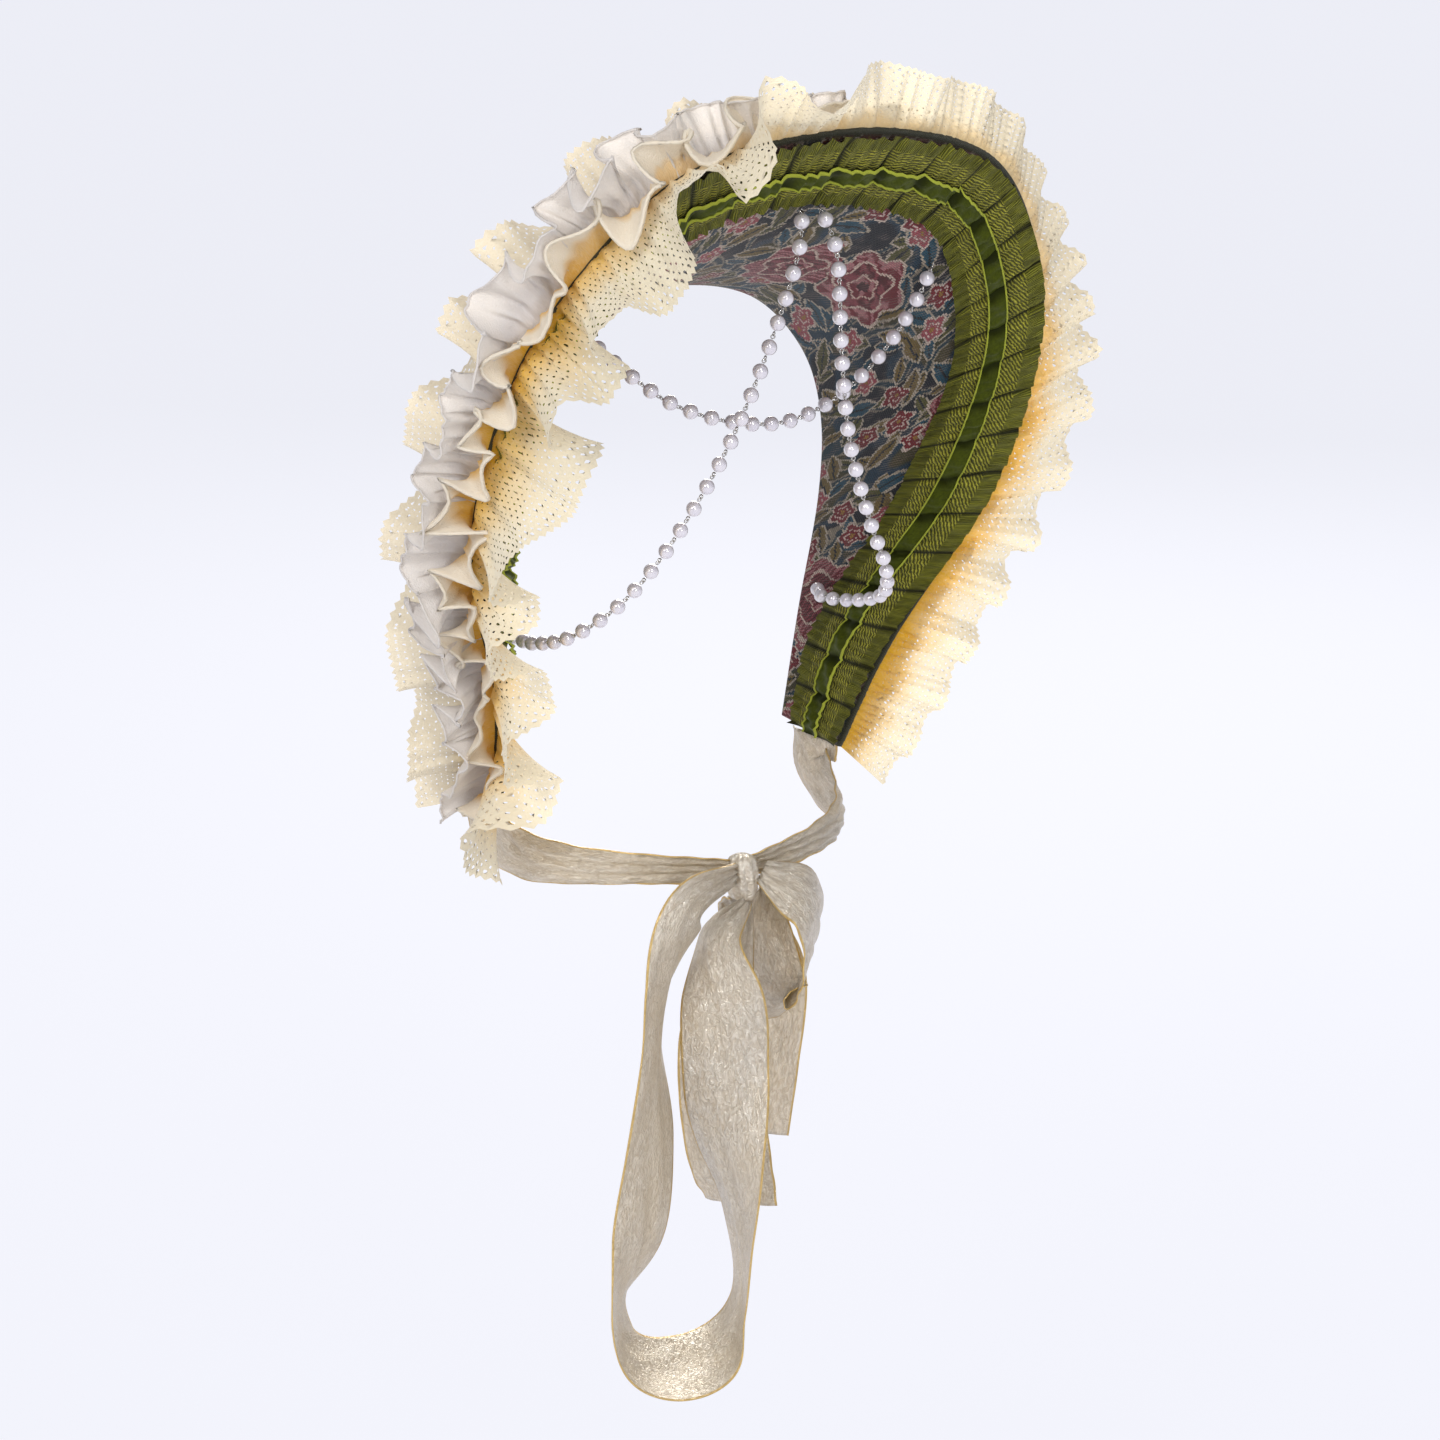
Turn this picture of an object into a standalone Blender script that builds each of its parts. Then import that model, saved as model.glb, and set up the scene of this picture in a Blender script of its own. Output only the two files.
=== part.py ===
"""Lace bonnet: a stiff floral brim, open at the back, that flares round the face.

The brim's rim carries four rows of gathered lace and frill. Its lining has a pleated green trim with
a velvet ribbon along it, and three strings of pearls hang across the opening. Two ribbons run from
the brim's tips to a bow under the chin.

Metres, +Z up. The wearer faces -Y and +X is the wearer's left. The origin is where the back edge of
the brim sits on the crown of the head.
"""

import math
from collections import namedtuple

import bmesh
import bpy
import numpy as np

# Driving dimensions
CLOTH = 0.001  # lace, frills and ribbons
BRIM_THICK = 0.003  # two layers of tapestry on a stiffener
GAP = 0.0004  # between pieces that touch
RIM_LEAN = 0.505  # the rim comes forward this much for each metre of height
RIM_FORWARD = -0.105  # the rim's y at the height of the crown
KNEE_PULL = 0.75  # how closely a brim section follows its knee

TRIM_WIDTH = 0.040
TRIM_START = 0.002  # from the rim
TRIM_CLEAR = 0.0011  # from the lining to the middle of the trim's cloth
TRIM_RISE = 0.0022  # height of a box pleat
PLEATS = 36
VELVET_WIDTH = 0.0095

BEAD = 0.0065
BEAD_PITCH = 0.0107
BEAD_SIDES = 10
WIRE = 0.0010
WIRE_SIDES = 5

# Half of the brim, from the crown's centre to the tip. Each row is a section that runs from the rim,
# round a knee, to the edge that lies on the head. The rim's y follows from its lean.
BrimRow = namedtuple("BrimRow", "rim_x rim_z knee_x knee_y knee_z edge_x edge_y edge_z")
BRIM_ROWS = [
    BrimRow(0.000, 0.079, 0.000, -0.080, 0.014, 0.000, 0.000, 0.000),
    BrimRow(0.066, 0.066, 0.041, -0.080, 0.007, 0.040, 0.004, -0.008),
    BrimRow(0.104, 0.027, 0.071, -0.080, -0.013, 0.070, 0.012, -0.034),
    BrimRow(0.124, -0.024, 0.086, -0.068, -0.044, 0.084, 0.018, -0.066),
    BrimRow(0.124, -0.093, 0.089, -0.039, -0.096, 0.088, 0.026, -0.106),
    BrimRow(0.097, -0.165, 0.088, -0.002, -0.164, 0.084, 0.036, -0.160),
    BrimRow(0.087, -0.220, 0.084, 0.026, -0.217, 0.080, 0.044, -0.214),
]
BRIM_CELLS = 36  # one for each pleat of the trim
BAND_CELLS = 2  # across the part of the lining that the trim covers
BACK_CELLS = 4  # across the rest

# How the rows of ruffle lean, from the wearer's right tip over the top to the left tip. The angle is
# in degrees from the brim's own flare (0): forwards and over the lining above 0, backwards below.
# reach is the share of their depth that they stand out, less where they curl.
LeanRow = namedtuple("LeanRow", "lace_front heading_frill back_ruffle lace_back reach")
LEAN_ROWS = [
    LeanRow(-24, -48, -76, -112, 0.95),
    LeanRow(46, 10, -34, -100, 1.00),
    LeanRow(84, 34, -20, -100, 1.00),
    LeanRow(70, 22, -32, -112, 1.00),
    LeanRow(18, -22, -62, -118, 0.82),
    LeanRow(-70, -93, -116, -144, 0.55),
    LeanRow(-52, -74, -97, -126, 0.95),
    LeanRow(-54, -76, -98, -118, 1.00),
    LeanRow(-66, -86, -104, -120, 0.95),
]
Ruffle = namedtuple("Ruffle", "name depth folds wave gaps colour")
RUFFLES = [
    Ruffle("lace_front", 0.040, 21, 0.0085, True, (0.90, 0.82, 0.63)),
    Ruffle("heading_frill", 0.014, 22, 0.0040, False, (0.93, 0.89, 0.80)),
    Ruffle("back_ruffle", 0.025, 18, 0.0055, False, (0.86, 0.85, 0.82)),
    Ruffle("lace_back", 0.029, 15, 0.0075, True, (0.90, 0.84, 0.68)),
]
GATHER_WAVE = 0.0009  # what is left of the folds at the seam
SEAM_STEP = 0.0037  # between the seams of neighbouring rows
SEAM_CLEAR = 0.0020  # from the brim to the middle of a seam
FOLD_DRIFT = 1.1  # how far the folds wander from an even pitch, in radians
DEPTH_DRIFT = 0.07  # and their depth, as a share of it
TIP_SPLAY = 0.60  # the rows fan out downwards at the tips
LACE_ACROSS = (0.0, 0.40, 0.72, 1.0)  # from seam to free edge; the middle band is pierced


# The middle of each string of pearls, from its first anchor to its last. An anchor is a share of the
# rim's length from the right tip, and a distance down from the rim.
StringRow = namedtuple("StringRow", "x y z")
SWAG_ANCHORS = ((0.340, 0.045), (0.620, 0.049))
SWAG_ROWS = [
    StringRow(-0.0710, -0.0820, -0.0150),
    StringRow(-0.0455, -0.0810, -0.0335),
    StringRow(-0.0157, -0.0792, -0.0444),
    StringRow(0.0153, -0.0730, -0.0477),
    StringRow(0.0448, -0.0662, -0.0397),
    StringRow(0.0620, -0.0720, -0.0215),
    StringRow(0.0680, -0.0860, 0.0000),
]
STRAND_ANCHORS = ((0.495, 0.0435), (0.100, 0.056))
STRAND_ROWS = [
    StringRow(-0.0090, -0.1200, 0.0290),
    StringRow(-0.0178, -0.1098, -0.0125),
    StringRow(-0.0296, -0.0974, -0.0529),
    StringRow(-0.0475, -0.0847, -0.0909),
    StringRow(-0.0637, -0.0722, -0.1165),
    StringRow(-0.0760, -0.0500, -0.1345),
    StringRow(-0.0785, -0.0210, -0.1440),
    StringRow(-0.0775, 0.0050, -0.1475),
]

# The ribbon's middle line, the turn of its flat side about that line in degrees, and its width.
KNOT_PLACE = (0.0000, -0.0600, -0.2500)
KNOT_SIZE = (0.0110, 0.0120, 0.0200)
RibbonRow = namedtuple("RibbonRow", "x y z turn width")
LONG_LOOP_ROWS = [
    RibbonRow(-0.0054, -0.0630, -0.2465, -10, 0.010),
    RibbonRow(-0.0370, -0.0790, -0.2520, -15, 0.034),
    RibbonRow(-0.0500, -0.0775, -0.2830, -42, 0.038),
    RibbonRow(-0.0530, -0.0740, -0.3180, -50, 0.038),
    RibbonRow(-0.0540, -0.0745, -0.3600, -28, 0.038),
    RibbonRow(-0.0600, -0.0755, -0.4000, -25, 0.038),
    RibbonRow(-0.0700, -0.0760, -0.4320, -52, 0.038),
    RibbonRow(-0.0640, -0.0760, -0.4560, -60, 0.038),
    RibbonRow(-0.0460, -0.0760, -0.4670, -66, 0.038),
    RibbonRow(-0.0240, -0.0760, -0.4650, -80, 0.038),
    RibbonRow(-0.0110, -0.0765, -0.4440, -112, 0.038),
    RibbonRow(-0.0125, -0.0790, -0.4050, -98, 0.038),
    RibbonRow(-0.0185, -0.0820, -0.3660, -68, 0.038),
    RibbonRow(-0.0210, -0.0830, -0.3300, -34, 0.038),
    RibbonRow(-0.0210, -0.0810, -0.2950, -50, 0.038),
    RibbonRow(-0.0190, -0.0740, -0.2700, -80, 0.026),
    RibbonRow(-0.0020, -0.0672, -0.2600, -80, 0.007),
]
SHORT_LOOP_ROWS = [
    RibbonRow(0.0085, -0.0620, -0.2480, -20, 0.011),
    RibbonRow(0.0255, -0.0715, -0.2620, -40, 0.036),
    RibbonRow(0.0290, -0.0705, -0.2830, -50, 0.038),
    RibbonRow(0.0280, -0.0650, -0.3030, -60, 0.038),
    RibbonRow(0.0225, -0.0570, -0.3120, -65, 0.038),
    RibbonRow(0.0160, -0.0520, -0.2980, -45, 0.038),
    RibbonRow(0.0115, -0.0520, -0.2750, -30, 0.028),
    RibbonRow(0.0085, -0.0578, -0.2560, -10, 0.008),
]
LONG_TAIL_ROWS = [
    RibbonRow(0.0005, -0.0615, -0.2606, 10, 0.006),
    RibbonRow(-0.0015, -0.0590, -0.2745, 20, 0.014),
    RibbonRow(-0.0080, -0.0580, -0.2993, 29, 0.028),
    RibbonRow(-0.0090, -0.0580, -0.3249, 29, 0.038),
    RibbonRow(-0.0090, -0.0580, -0.3532, 29, 0.038),
    RibbonRow(-0.0049, -0.0580, -0.3828, 40, 0.038),
    RibbonRow(0.0010, -0.0580, -0.4040, 60, 0.038),
]
SHORT_TAIL_ROWS = [
    RibbonRow(-0.0015, -0.0562, -0.2590, 10, 0.006),
    RibbonRow(0.0010, -0.0450, -0.2640, 20, 0.008),
    RibbonRow(0.0090, -0.0385, -0.2740, 26, 0.018),
    RibbonRow(0.0205, -0.0370, -0.2900, 29, 0.032),
    RibbonRow(0.0259, -0.0350, -0.3129, 29, 0.038),
    RibbonRow(0.0219, -0.0350, -0.3482, 29, 0.038),
    RibbonRow(0.0168, -0.0350, -0.3812, 29, 0.038),
]
CHIN_ROWS = [
    RibbonRow(0.0050, -0.0560, -0.2440, 0, 0.012),
    RibbonRow(0.0200, -0.0560, -0.2440, 0, 0.013),
    RibbonRow(0.0430, -0.0480, -0.2430, 0, 0.014),
    RibbonRow(0.0660, -0.0280, -0.2430, 0, 0.018),
    RibbonRow(0.0800, -0.0030, -0.2425, 0, 0.024),
    RibbonRow(0.0866, 0.0235, -0.2340, 0, 0.030),
    RibbonRow(0.0860, 0.0240, -0.2180, 0, 0.032),
]
RIBBON_STEPS = 2  # stations for each row
CREAM = (0.86, 0.80, 0.68)


def smooth_row(rows, place):
    """The row at a place from 0 to len(rows) - 1, on a smooth curve through them all."""
    at = min(int(place), len(rows) - 2)
    t = place - at
    here, after = rows[at], rows[at + 1]
    before = rows[at - 1] if at else 2 * here - after
    beyond = rows[at + 2] if at + 2 < len(rows) else 2 * after - here
    return 0.5 * (
        2 * here
        + (after - before) * t
        + (2 * before - 5 * here + 4 * after - beyond) * t**2
        + (3 * (here - after) + beyond - before) * t**3
    )


def unit(vector):
    return vector / np.linalg.norm(vector)


def brim_rows():
    """Rim, knee and edge points of every section, from the right tip to the left tip."""
    left = []
    for row in BRIM_ROWS:
        rim = (row.rim_x, RIM_FORWARD - RIM_LEAN * row.rim_z, row.rim_z)
        knee = (row.knee_x, row.knee_y, row.knee_z)
        edge = (row.edge_x, row.edge_y, row.edge_z)
        left.append(np.array(rim + knee + edge))
    mirror = np.array([-1, 1, 1] * 3)
    right = [row * mirror for row in left[:0:-1]]
    return np.array(right + left)


def brim_section(row, steps=40):
    """Points down one section, and their distances from the rim."""
    rim, knee, edge = row[0:3], row[3:6], row[6:9]
    t = np.linspace(0, 1, steps)[:, None]
    first = rim + KNEE_PULL * (knee - rim)
    second = edge + KNEE_PULL * (knee - edge)
    points = (
        (1 - t) ** 3 * rim
        + 3 * (1 - t) ** 2 * t * first
        + 3 * (1 - t) * t**2 * second
        + t**3 * edge
    )
    steps_long = np.linalg.norm(np.diff(points, axis=0), axis=1)
    return points, np.concatenate([[0], np.cumsum(steps_long)])


def grid_normals(grid):
    """A unit normal at each point of a grid, on the side away from the head."""
    along = np.gradient(grid, axis=0)
    across = np.gradient(grid, axis=1)
    normal = np.cross(along, across)
    return normal / np.linalg.norm(normal, axis=2, keepdims=True)


class Brim:
    """The lining as a grid of flat facets, which everything sewn to the brim follows."""

    def __init__(self):
        rows = brim_rows()
        fine = [smooth_row(rows, place) for place in np.linspace(0, len(rows) - 1, 361)]
        rim = np.array([row[0:3] for row in fine])
        run = np.concatenate([[0], np.cumsum(np.linalg.norm(np.diff(rim, axis=0), axis=1))])
        self.length = run[-1]
        self.stations = np.linspace(0, self.length, BRIM_CELLS + 1)
        grid, depths = [], []
        for station in self.stations:
            place = np.interp(station, run, np.linspace(0, len(rows) - 1, len(run)))
            points, down = brim_section(smooth_row(rows, place))
            band = min(TRIM_WIDTH + 0.002, 0.8 * down[-1])
            depth = np.concatenate(
                [
                    np.linspace(0, band, BAND_CELLS + 1),
                    np.linspace(band, down[-1], BACK_CELLS + 1)[1:],
                ]
            )
            grid.append([[np.interp(d, down, points[:, k]) for k in range(3)] for d in depth])
            depths.append(depth)
        self.grid = np.array(grid)
        self.depths = np.array(depths)
        self.normals = grid_normals(self.grid)

    def point(self, along, down, lift=0.0):
        """A point on the brim: distance along the rim from the right tip, distance down from the rim,
        and height above the lining, positive outwards. Down may be negative, past the rim."""
        cell = min(max(along / self.length, 0), 1) * BRIM_CELLS
        i = min(int(cell), BRIM_CELLS - 1)
        t = cell - i
        depth = (1 - t) * self.depths[i] + t * self.depths[i + 1]
        line = (1 - t) * self.grid[i] + t * self.grid[i + 1]
        normal = (1 - t) * self.normals[i] + t * self.normals[i + 1]
        j = min(max(int(np.searchsorted(depth, down) - 1), 0), len(depth) - 2)
        s = (down - depth[j]) / (depth[j + 1] - depth[j])
        up = (1 - max(s, 0)) * normal[j] + max(s, 0) * normal[j + 1]
        return (1 - s) * line[j] + s * line[j + 1] + lift * unit(up)

    def rim_frame(self, along):
        """At the rim: along it, out past it in line with the brim, and square to the lining."""
        step = 0.002
        tangent = unit(self.point(along + step, 0) - self.point(along - step, 0))
        inward = unit(self.point(along, 0, -step) - self.point(along, 0))
        flare = unit(np.cross(inward, tangent))
        if np.dot(flare, self.point(along, step) - self.point(along, 0)) > 0:
            flare = -flare
        return tangent, flare, unit(np.cross(tangent, flare))

    def band_width(self, along):
        cell = along / self.length * BRIM_CELLS
        return np.interp(cell, range(BRIM_CELLS + 1), self.depths[:, BAND_CELLS])


def new_object(name, mesh, colour, roughness, metallic=0.0):
    material = bpy.data.materials.new(name)
    material.use_nodes = True
    shader = material.node_tree.nodes["Principled BSDF"]
    shader.inputs["Base Color"].default_value = (*colour, 1)
    shader.inputs["Roughness"].default_value = roughness
    shader.inputs["Metallic"].default_value = metallic
    mesh.materials.append(material)
    thing = bpy.data.objects.new(name, mesh)
    bpy.context.collection.objects.link(thing)
    return thing


def cloth(name, grid, thickness, colour, roughness=0.9, offset=0.0, missing=()):
    """A cloth piece: a grid of points with some cells left out, thickened to a closed body."""
    across = len(grid[0])
    mesh = bpy.data.meshes.new(name)
    points = [tuple(point) for line in grid for point in line]
    faces = []
    for i in range(len(grid) - 1):
        for j in range(across - 1):
            if (i, j) not in missing:
                a = i * across + j
                faces.append((a, a + across, a + across + 1, a + 1))
    mesh.from_pydata(points, [], faces)
    thing = new_object(name, mesh, colour, roughness)
    solid = thing.modifiers.new("thickness", "SOLIDIFY")
    solid.thickness = thickness
    solid.offset = offset
    solid.use_even_offset = False
    return thing


def make_brim(brim):
    return cloth("brim", brim.grid, BRIM_THICK, (0.07, 0.09, 0.12), offset=1.0)


def make_green_trim(brim):
    """A band of box pleats along the lining, one pleat to each cell of the brim."""
    profile = ((0.0, 0.0), (0.14, 1.0), (0.86, 1.0))  # place in a pleat, height
    grid = []
    for pleat in range(PLEATS + 1):
        for place, height in profile if pleat < PLEATS else profile[:1]:
            along = (pleat + place) / PLEATS * brim.length
            width = brim.band_width(along)
            lift = -(TRIM_CLEAR + height * TRIM_RISE)
            across = (TRIM_START, width / 2, width)
            grid.append([brim.point(along, down, lift) for down in across])
    return cloth("green_trim", grid, CLOTH, (0.10, 0.13, 0.015), 0.75)


def make_velvet_ribbon(brim):
    """The ribbon along the middle of the trim, stretched from pleat to pleat."""
    lift = -(TRIM_CLEAR + TRIM_RISE + CLOTH + 2 * GAP)
    grid = []
    for pleat in range(PLEATS):
        along = (pleat + 0.5) / PLEATS * brim.length
        middle, half = brim.band_width(along) / 2, VELVET_WIDTH / 2
        grid.append([brim.point(along, middle + side * half, lift) for side in (-1, 0, 1)])
    return cloth("velvet_ribbon", grid, CLOTH, (0.09, 0.14, 0.012), 0.5)


def fold_phase(share, folds):
    """The phase of the gathers at a share of the row's length, in radians; it always grows."""
    return (
        2 * math.pi * folds * share
        + FOLD_DRIFT * math.sin(2 * math.pi * 3.1 * share + 0.7 * folds)
        + 0.7 * FOLD_DRIFT * math.sin(2 * math.pi * 7.3 * share + 0.3 * folds)
    )


def seam_place(leans, number):
    """Where a row is sewn on: distance past the rim and height above the brim's outer face. Each row
    is stacked square to the way that it and the row in front of it rise."""
    past, height = SEAM_CLEAR, -BRIM_THICK / 2
    for row in range(number):
        turn = math.radians((leans[row] + leans[row + 1]) / 2 - 90)
        past += SEAM_STEP * math.cos(turn)
        height -= SEAM_STEP * math.sin(turn)
        if past < SEAM_CLEAR:
            height = max(height, SEAM_CLEAR)
    return past, height


def make_ruffle(brim, kind, number):
    """One gathered row. Each fold has four stations: crest, side, hollow and side."""
    shares = np.linspace(0, 1, 2001)
    phases = [fold_phase(share, kind.folds) for share in shares]
    stations = np.linspace(phases[0], phases[-1], 4 * kind.folds + 1)
    across = LACE_ACROSS if kind.gaps else (0.0, 1.0)
    lean_rows = np.array(LEAN_ROWS, float)
    grid = []
    for phase in stations:
        share = float(np.interp(phase, phases, shares))
        along = share * brim.length
        leans = smooth_row(lean_rows, share * (len(lean_rows) - 1))
        past, height = seam_place(leans, number)
        seam = brim.point(along, -past, BRIM_THICK + height)
        tangent, flare, inward = brim.rim_frame(along)
        lean = math.radians(leans[number])
        rise = math.cos(lean) * flare + math.sin(lean) * inward
        side = math.cos(lean) * inward - math.sin(lean) * flare
        splay = TIP_SPLAY * (max(0, share * 14 - 13) ** 2 - max(0, 1 - share * 14) ** 2)
        rise = unit(rise + splay * tangent)
        drift = 1 + DEPTH_DRIFT * math.sin(2 * math.pi * 5.3 * share + number)
        depth = kind.depth * drift * leans[-1]
        swing = (1 + 0.25 * math.sin(2 * math.pi * 4.7 * share + 2 * number)) * leans[-1]
        line = []
        for part in across:
            wave = GATHER_WAVE + (kind.wave * swing - GATHER_WAVE) * part
            line.append(seam + part * depth * rise + wave * math.cos(phase) * side)
        grid.append(line)
    missing = {(i, 1) for i in range(1, len(grid) - 2, 2)} if kind.gaps else ()
    return cloth(kind.name, grid, CLOTH, kind.colour, missing=missing)


def resample(points, spacing):
    """A fine line through points, and the distance along it at each of its points."""
    rows = np.array(points, float)
    line = [smooth_row(rows, place) for place in np.linspace(0, len(rows) - 1, spacing)]
    run = np.concatenate([[0], np.cumsum(np.linalg.norm(np.diff(line, axis=0), axis=1))])
    return np.array(line), run


def ring_faces(low, low_sides, high, high_sides):
    """Faces between two rings, numbered from low and from high; one may have half the sides."""
    faces = []
    for k in range(low_sides if low_sides <= high_sides else high_sides):
        if low_sides == high_sides:
            after = (k + 1) % low_sides
            faces.append((low + k, low + after, high + after, high + k))
        elif low_sides < high_sides:
            after, double = (k + 1) % low_sides, 2 * k
            faces.append((low + k, low + after, high + double + 1, high + double))
            faces.append((low + after, high + (double + 2) % high_sides, high + double + 1))
        else:
            after, double = (k + 1) % high_sides, 2 * k
            faces.append((low + double, low + double + 1, high + after, high + k))
            faces.append((low + double + 1, low + (double + 2) % low_sides, high + after))
    return faces


def make_string(name, points):
    """A string of pearls on wire: one body, turned along its line."""
    line, run = resample(points, 500)
    beads = int(run[-1] / BEAD_PITCH - 0.15)
    first = (run[-1] - (beads - 1) * BEAD_PITCH) / 2
    rings = [(0.0, WIRE / 2, WIRE_SIDES)]
    for bead in range(beads):
        middle = first + bead * BEAD_PITCH
        for place in (-0.47, -0.27, 0.27, 0.47):
            wide = abs(place) < 0.4
            radius = BEAD * math.sqrt(0.25 - place**2) if wide else WIRE / 2
            rings.append((middle + place * BEAD, radius, BEAD_SIDES if wide else WIRE_SIDES))
    rings.append((run[-1], WIRE / 2, WIRE_SIDES))
    points, faces = [], []
    across = np.array([1.0, 0.0, 0.0])
    start, sides = 0, 0
    for place, radius, new_sides in rings:
        middle = np.array([np.interp(place, run, line[:, k]) for k in range(3)])
        ahead = np.array([np.interp(place + 0.001, run, line[:, k]) for k in range(3)])
        behind = np.array([np.interp(place - 0.001, run, line[:, k]) for k in range(3)])
        forward = unit(ahead - behind)
        across = unit(across - np.dot(across, forward) * forward)
        up = np.cross(forward, across)
        new_start = len(points)
        for k in range(new_sides):
            angle = 2 * math.pi * k / new_sides
            points.append(middle + radius * (math.cos(angle) * across + math.sin(angle) * up))
        if sides:
            faces += ring_faces(start, sides, new_start, new_sides)
        else:
            faces.append(tuple(range(new_sides))[::-1])
        start, sides = new_start, new_sides
    faces.append(tuple(range(start, start + sides)))
    mesh = bpy.data.meshes.new(name)
    mesh.from_pydata([tuple(point) for point in points], [], faces)
    mesh.shade_smooth()
    return new_object(name, mesh, (0.80, 0.78, 0.80), 0.2)


def string_path(brim, anchors, rows, mirror=1):
    """A string's line from the lining at one anchor to the lining at the other."""
    lift = -(GAP + WIRE / 2)
    ends = [brim.point(share * brim.length, down, lift) for share, down in anchors]
    path = [ends[0]] + [np.array(row) for row in rows] + [ends[1]]
    return [point * np.array([mirror, 1, 1]) for point in path]


def make_ribbon(name, rows, facing, mirror=1):
    """A ribbon along its rows. facing gives, at a point, the way its flat side looks at turn 0."""
    rows = np.array(rows, float) * np.array([mirror, 1, 1, mirror, 1])
    stations = [smooth_row(rows, k / RIBBON_STEPS) for k in range(RIBBON_STEPS * (len(rows) - 1) + 1)]
    middles = np.array([station[0:3] for station in stations])
    ways = np.gradient(middles, axis=0)
    grid = []
    for middle, way, station in zip(middles, ways, stations):
        way = unit(way)
        flat = unit(np.cross(way, facing(middle)))
        turn = math.radians(station[3])
        across = math.cos(turn) * flat + math.sin(turn) * np.cross(way, flat)
        grid.append([middle + side * station[4] / 2 * across for side in (-1, 1)])
    return cloth(name, grid, CLOTH, CREAM, 0.35)


def make_knot():
    mesh = bpy.data.meshes.new("bow_knot")
    shape = bmesh.new()
    bmesh.ops.create_uvsphere(shape, u_segments=10, v_segments=6, radius=0.5)
    bmesh.ops.scale(shape, vec=KNOT_SIZE, verts=shape.verts)
    bmesh.ops.translate(shape, vec=KNOT_PLACE, verts=shape.verts)
    shape.to_mesh(mesh)
    shape.free()
    mesh.shade_smooth()
    return new_object("bow_knot", mesh, CREAM, 0.35)


def from_front(point):
    return np.array([0.0, 1.0, 0.0])


def from_neck(point):
    """Out from the middle of the neck."""
    return unit(np.array([point[0], point[1] - 0.01, 0.0]))


def main():
    for thing in list(bpy.data.objects):
        bpy.data.objects.remove(thing)
    brim = Brim()
    make_brim(brim)
    make_green_trim(brim)
    make_velvet_ribbon(brim)
    for number, kind in enumerate(RUFFLES):
        make_ruffle(brim, kind, number)
    make_string("pearl_swag", string_path(brim, SWAG_ANCHORS, SWAG_ROWS))
    make_string("pearl_strand_right", string_path(brim, STRAND_ANCHORS, STRAND_ROWS))
    make_string("pearl_strand_left", string_path(brim, STRAND_ANCHORS, STRAND_ROWS, mirror=-1))
    make_ribbon("chin_ribbon_left", CHIN_ROWS, from_neck)
    make_ribbon("chin_ribbon_right", CHIN_ROWS, from_neck, mirror=-1)
    make_knot()
    make_ribbon("bow_loop_long", LONG_LOOP_ROWS, from_front)
    make_ribbon("bow_loop_short", SHORT_LOOP_ROWS, from_front)
    make_ribbon("bow_tail_long", LONG_TAIL_ROWS, from_front)
    make_ribbon("bow_tail_short", SHORT_TAIL_ROWS, from_front)


main()
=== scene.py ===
import math
from collections import namedtuple

import bmesh
import bpy
import numpy as np
from mathutils import Matrix, Vector


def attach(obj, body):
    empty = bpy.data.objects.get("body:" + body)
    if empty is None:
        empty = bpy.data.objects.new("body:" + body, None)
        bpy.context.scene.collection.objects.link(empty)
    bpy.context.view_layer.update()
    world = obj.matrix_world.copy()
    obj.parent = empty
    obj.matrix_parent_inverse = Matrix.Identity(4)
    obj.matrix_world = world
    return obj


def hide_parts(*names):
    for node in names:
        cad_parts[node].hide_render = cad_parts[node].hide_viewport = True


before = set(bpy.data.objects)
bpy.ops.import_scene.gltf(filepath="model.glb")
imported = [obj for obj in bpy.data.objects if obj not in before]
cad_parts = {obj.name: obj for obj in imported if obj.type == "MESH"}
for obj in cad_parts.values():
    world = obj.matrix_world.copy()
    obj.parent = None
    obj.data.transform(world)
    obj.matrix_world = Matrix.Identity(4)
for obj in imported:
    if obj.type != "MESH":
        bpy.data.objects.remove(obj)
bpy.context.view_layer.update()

# View: the bonnet is seen from in front of and a little above its right side, a metre and a half off.
# The floor is a plain pale sheet well below the bow, because the bonnet is held up as if worn.
TARGET = Vector((0.0, -0.040, -0.184))
TOWARDS_CAMERA = Vector((-0.46603, -0.84074, 0.27564))
CAMERA_DISTANCE = 1.5
FLOOR_Z, FLOOR_SIZE = -0.62, 12
ROOM_LIGHT = 0.42  # of the room's brightness falls on the bonnet


def srgb(code, alpha=1.0):
    """The linear colour of an sRGB hex value."""
    parts = [int(code[k:k + 2], 16) / 255 for k in (1, 3, 5)]
    return tuple(c / 12.92 if c <= 0.04045 else ((c + 0.055) / 1.055) ** 2.4 for c in parts) + (alpha,)


def feed(tree, node, inputs):
    """Gives a node's inputs, by name or number, a value, or a link from a node or a socket."""
    for key, value in inputs.items():
        if isinstance(value, bpy.types.Node):
            value = value.outputs[0]
        if isinstance(value, bpy.types.NodeSocket):
            tree.links.new(value, node.inputs[key])
        else:
            node.inputs[key].default_value = value


def add(tree, kind, inputs=None, **settings):
    """A shader node with its settings and inputs."""
    made = tree.nodes.new("ShaderNode" + kind)
    for key, value in settings.items():
        setattr(made, key, value)
    feed(tree, made, inputs or {})
    return made


def new_material(name, inputs):
    """A material, its node tree and its shader, with values on the shader's own sockets."""
    material = bpy.data.materials.new(name)
    material.use_nodes = True
    shader = material.node_tree.nodes["Principled BSDF"]
    feed(material.node_tree, shader, inputs)
    return material, material.node_tree, shader


def new_object(name, shape, material=None):
    """A smooth object of the scene, made from a bmesh."""
    mesh = bpy.data.meshes.new(name)
    shape.to_mesh(mesh)
    shape.free()
    mesh.shade_smooth()
    if material:
        mesh.materials.append(material)
    made = bpy.data.objects.new(name, mesh)
    bpy.context.collection.objects.link(made)
    return made


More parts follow.
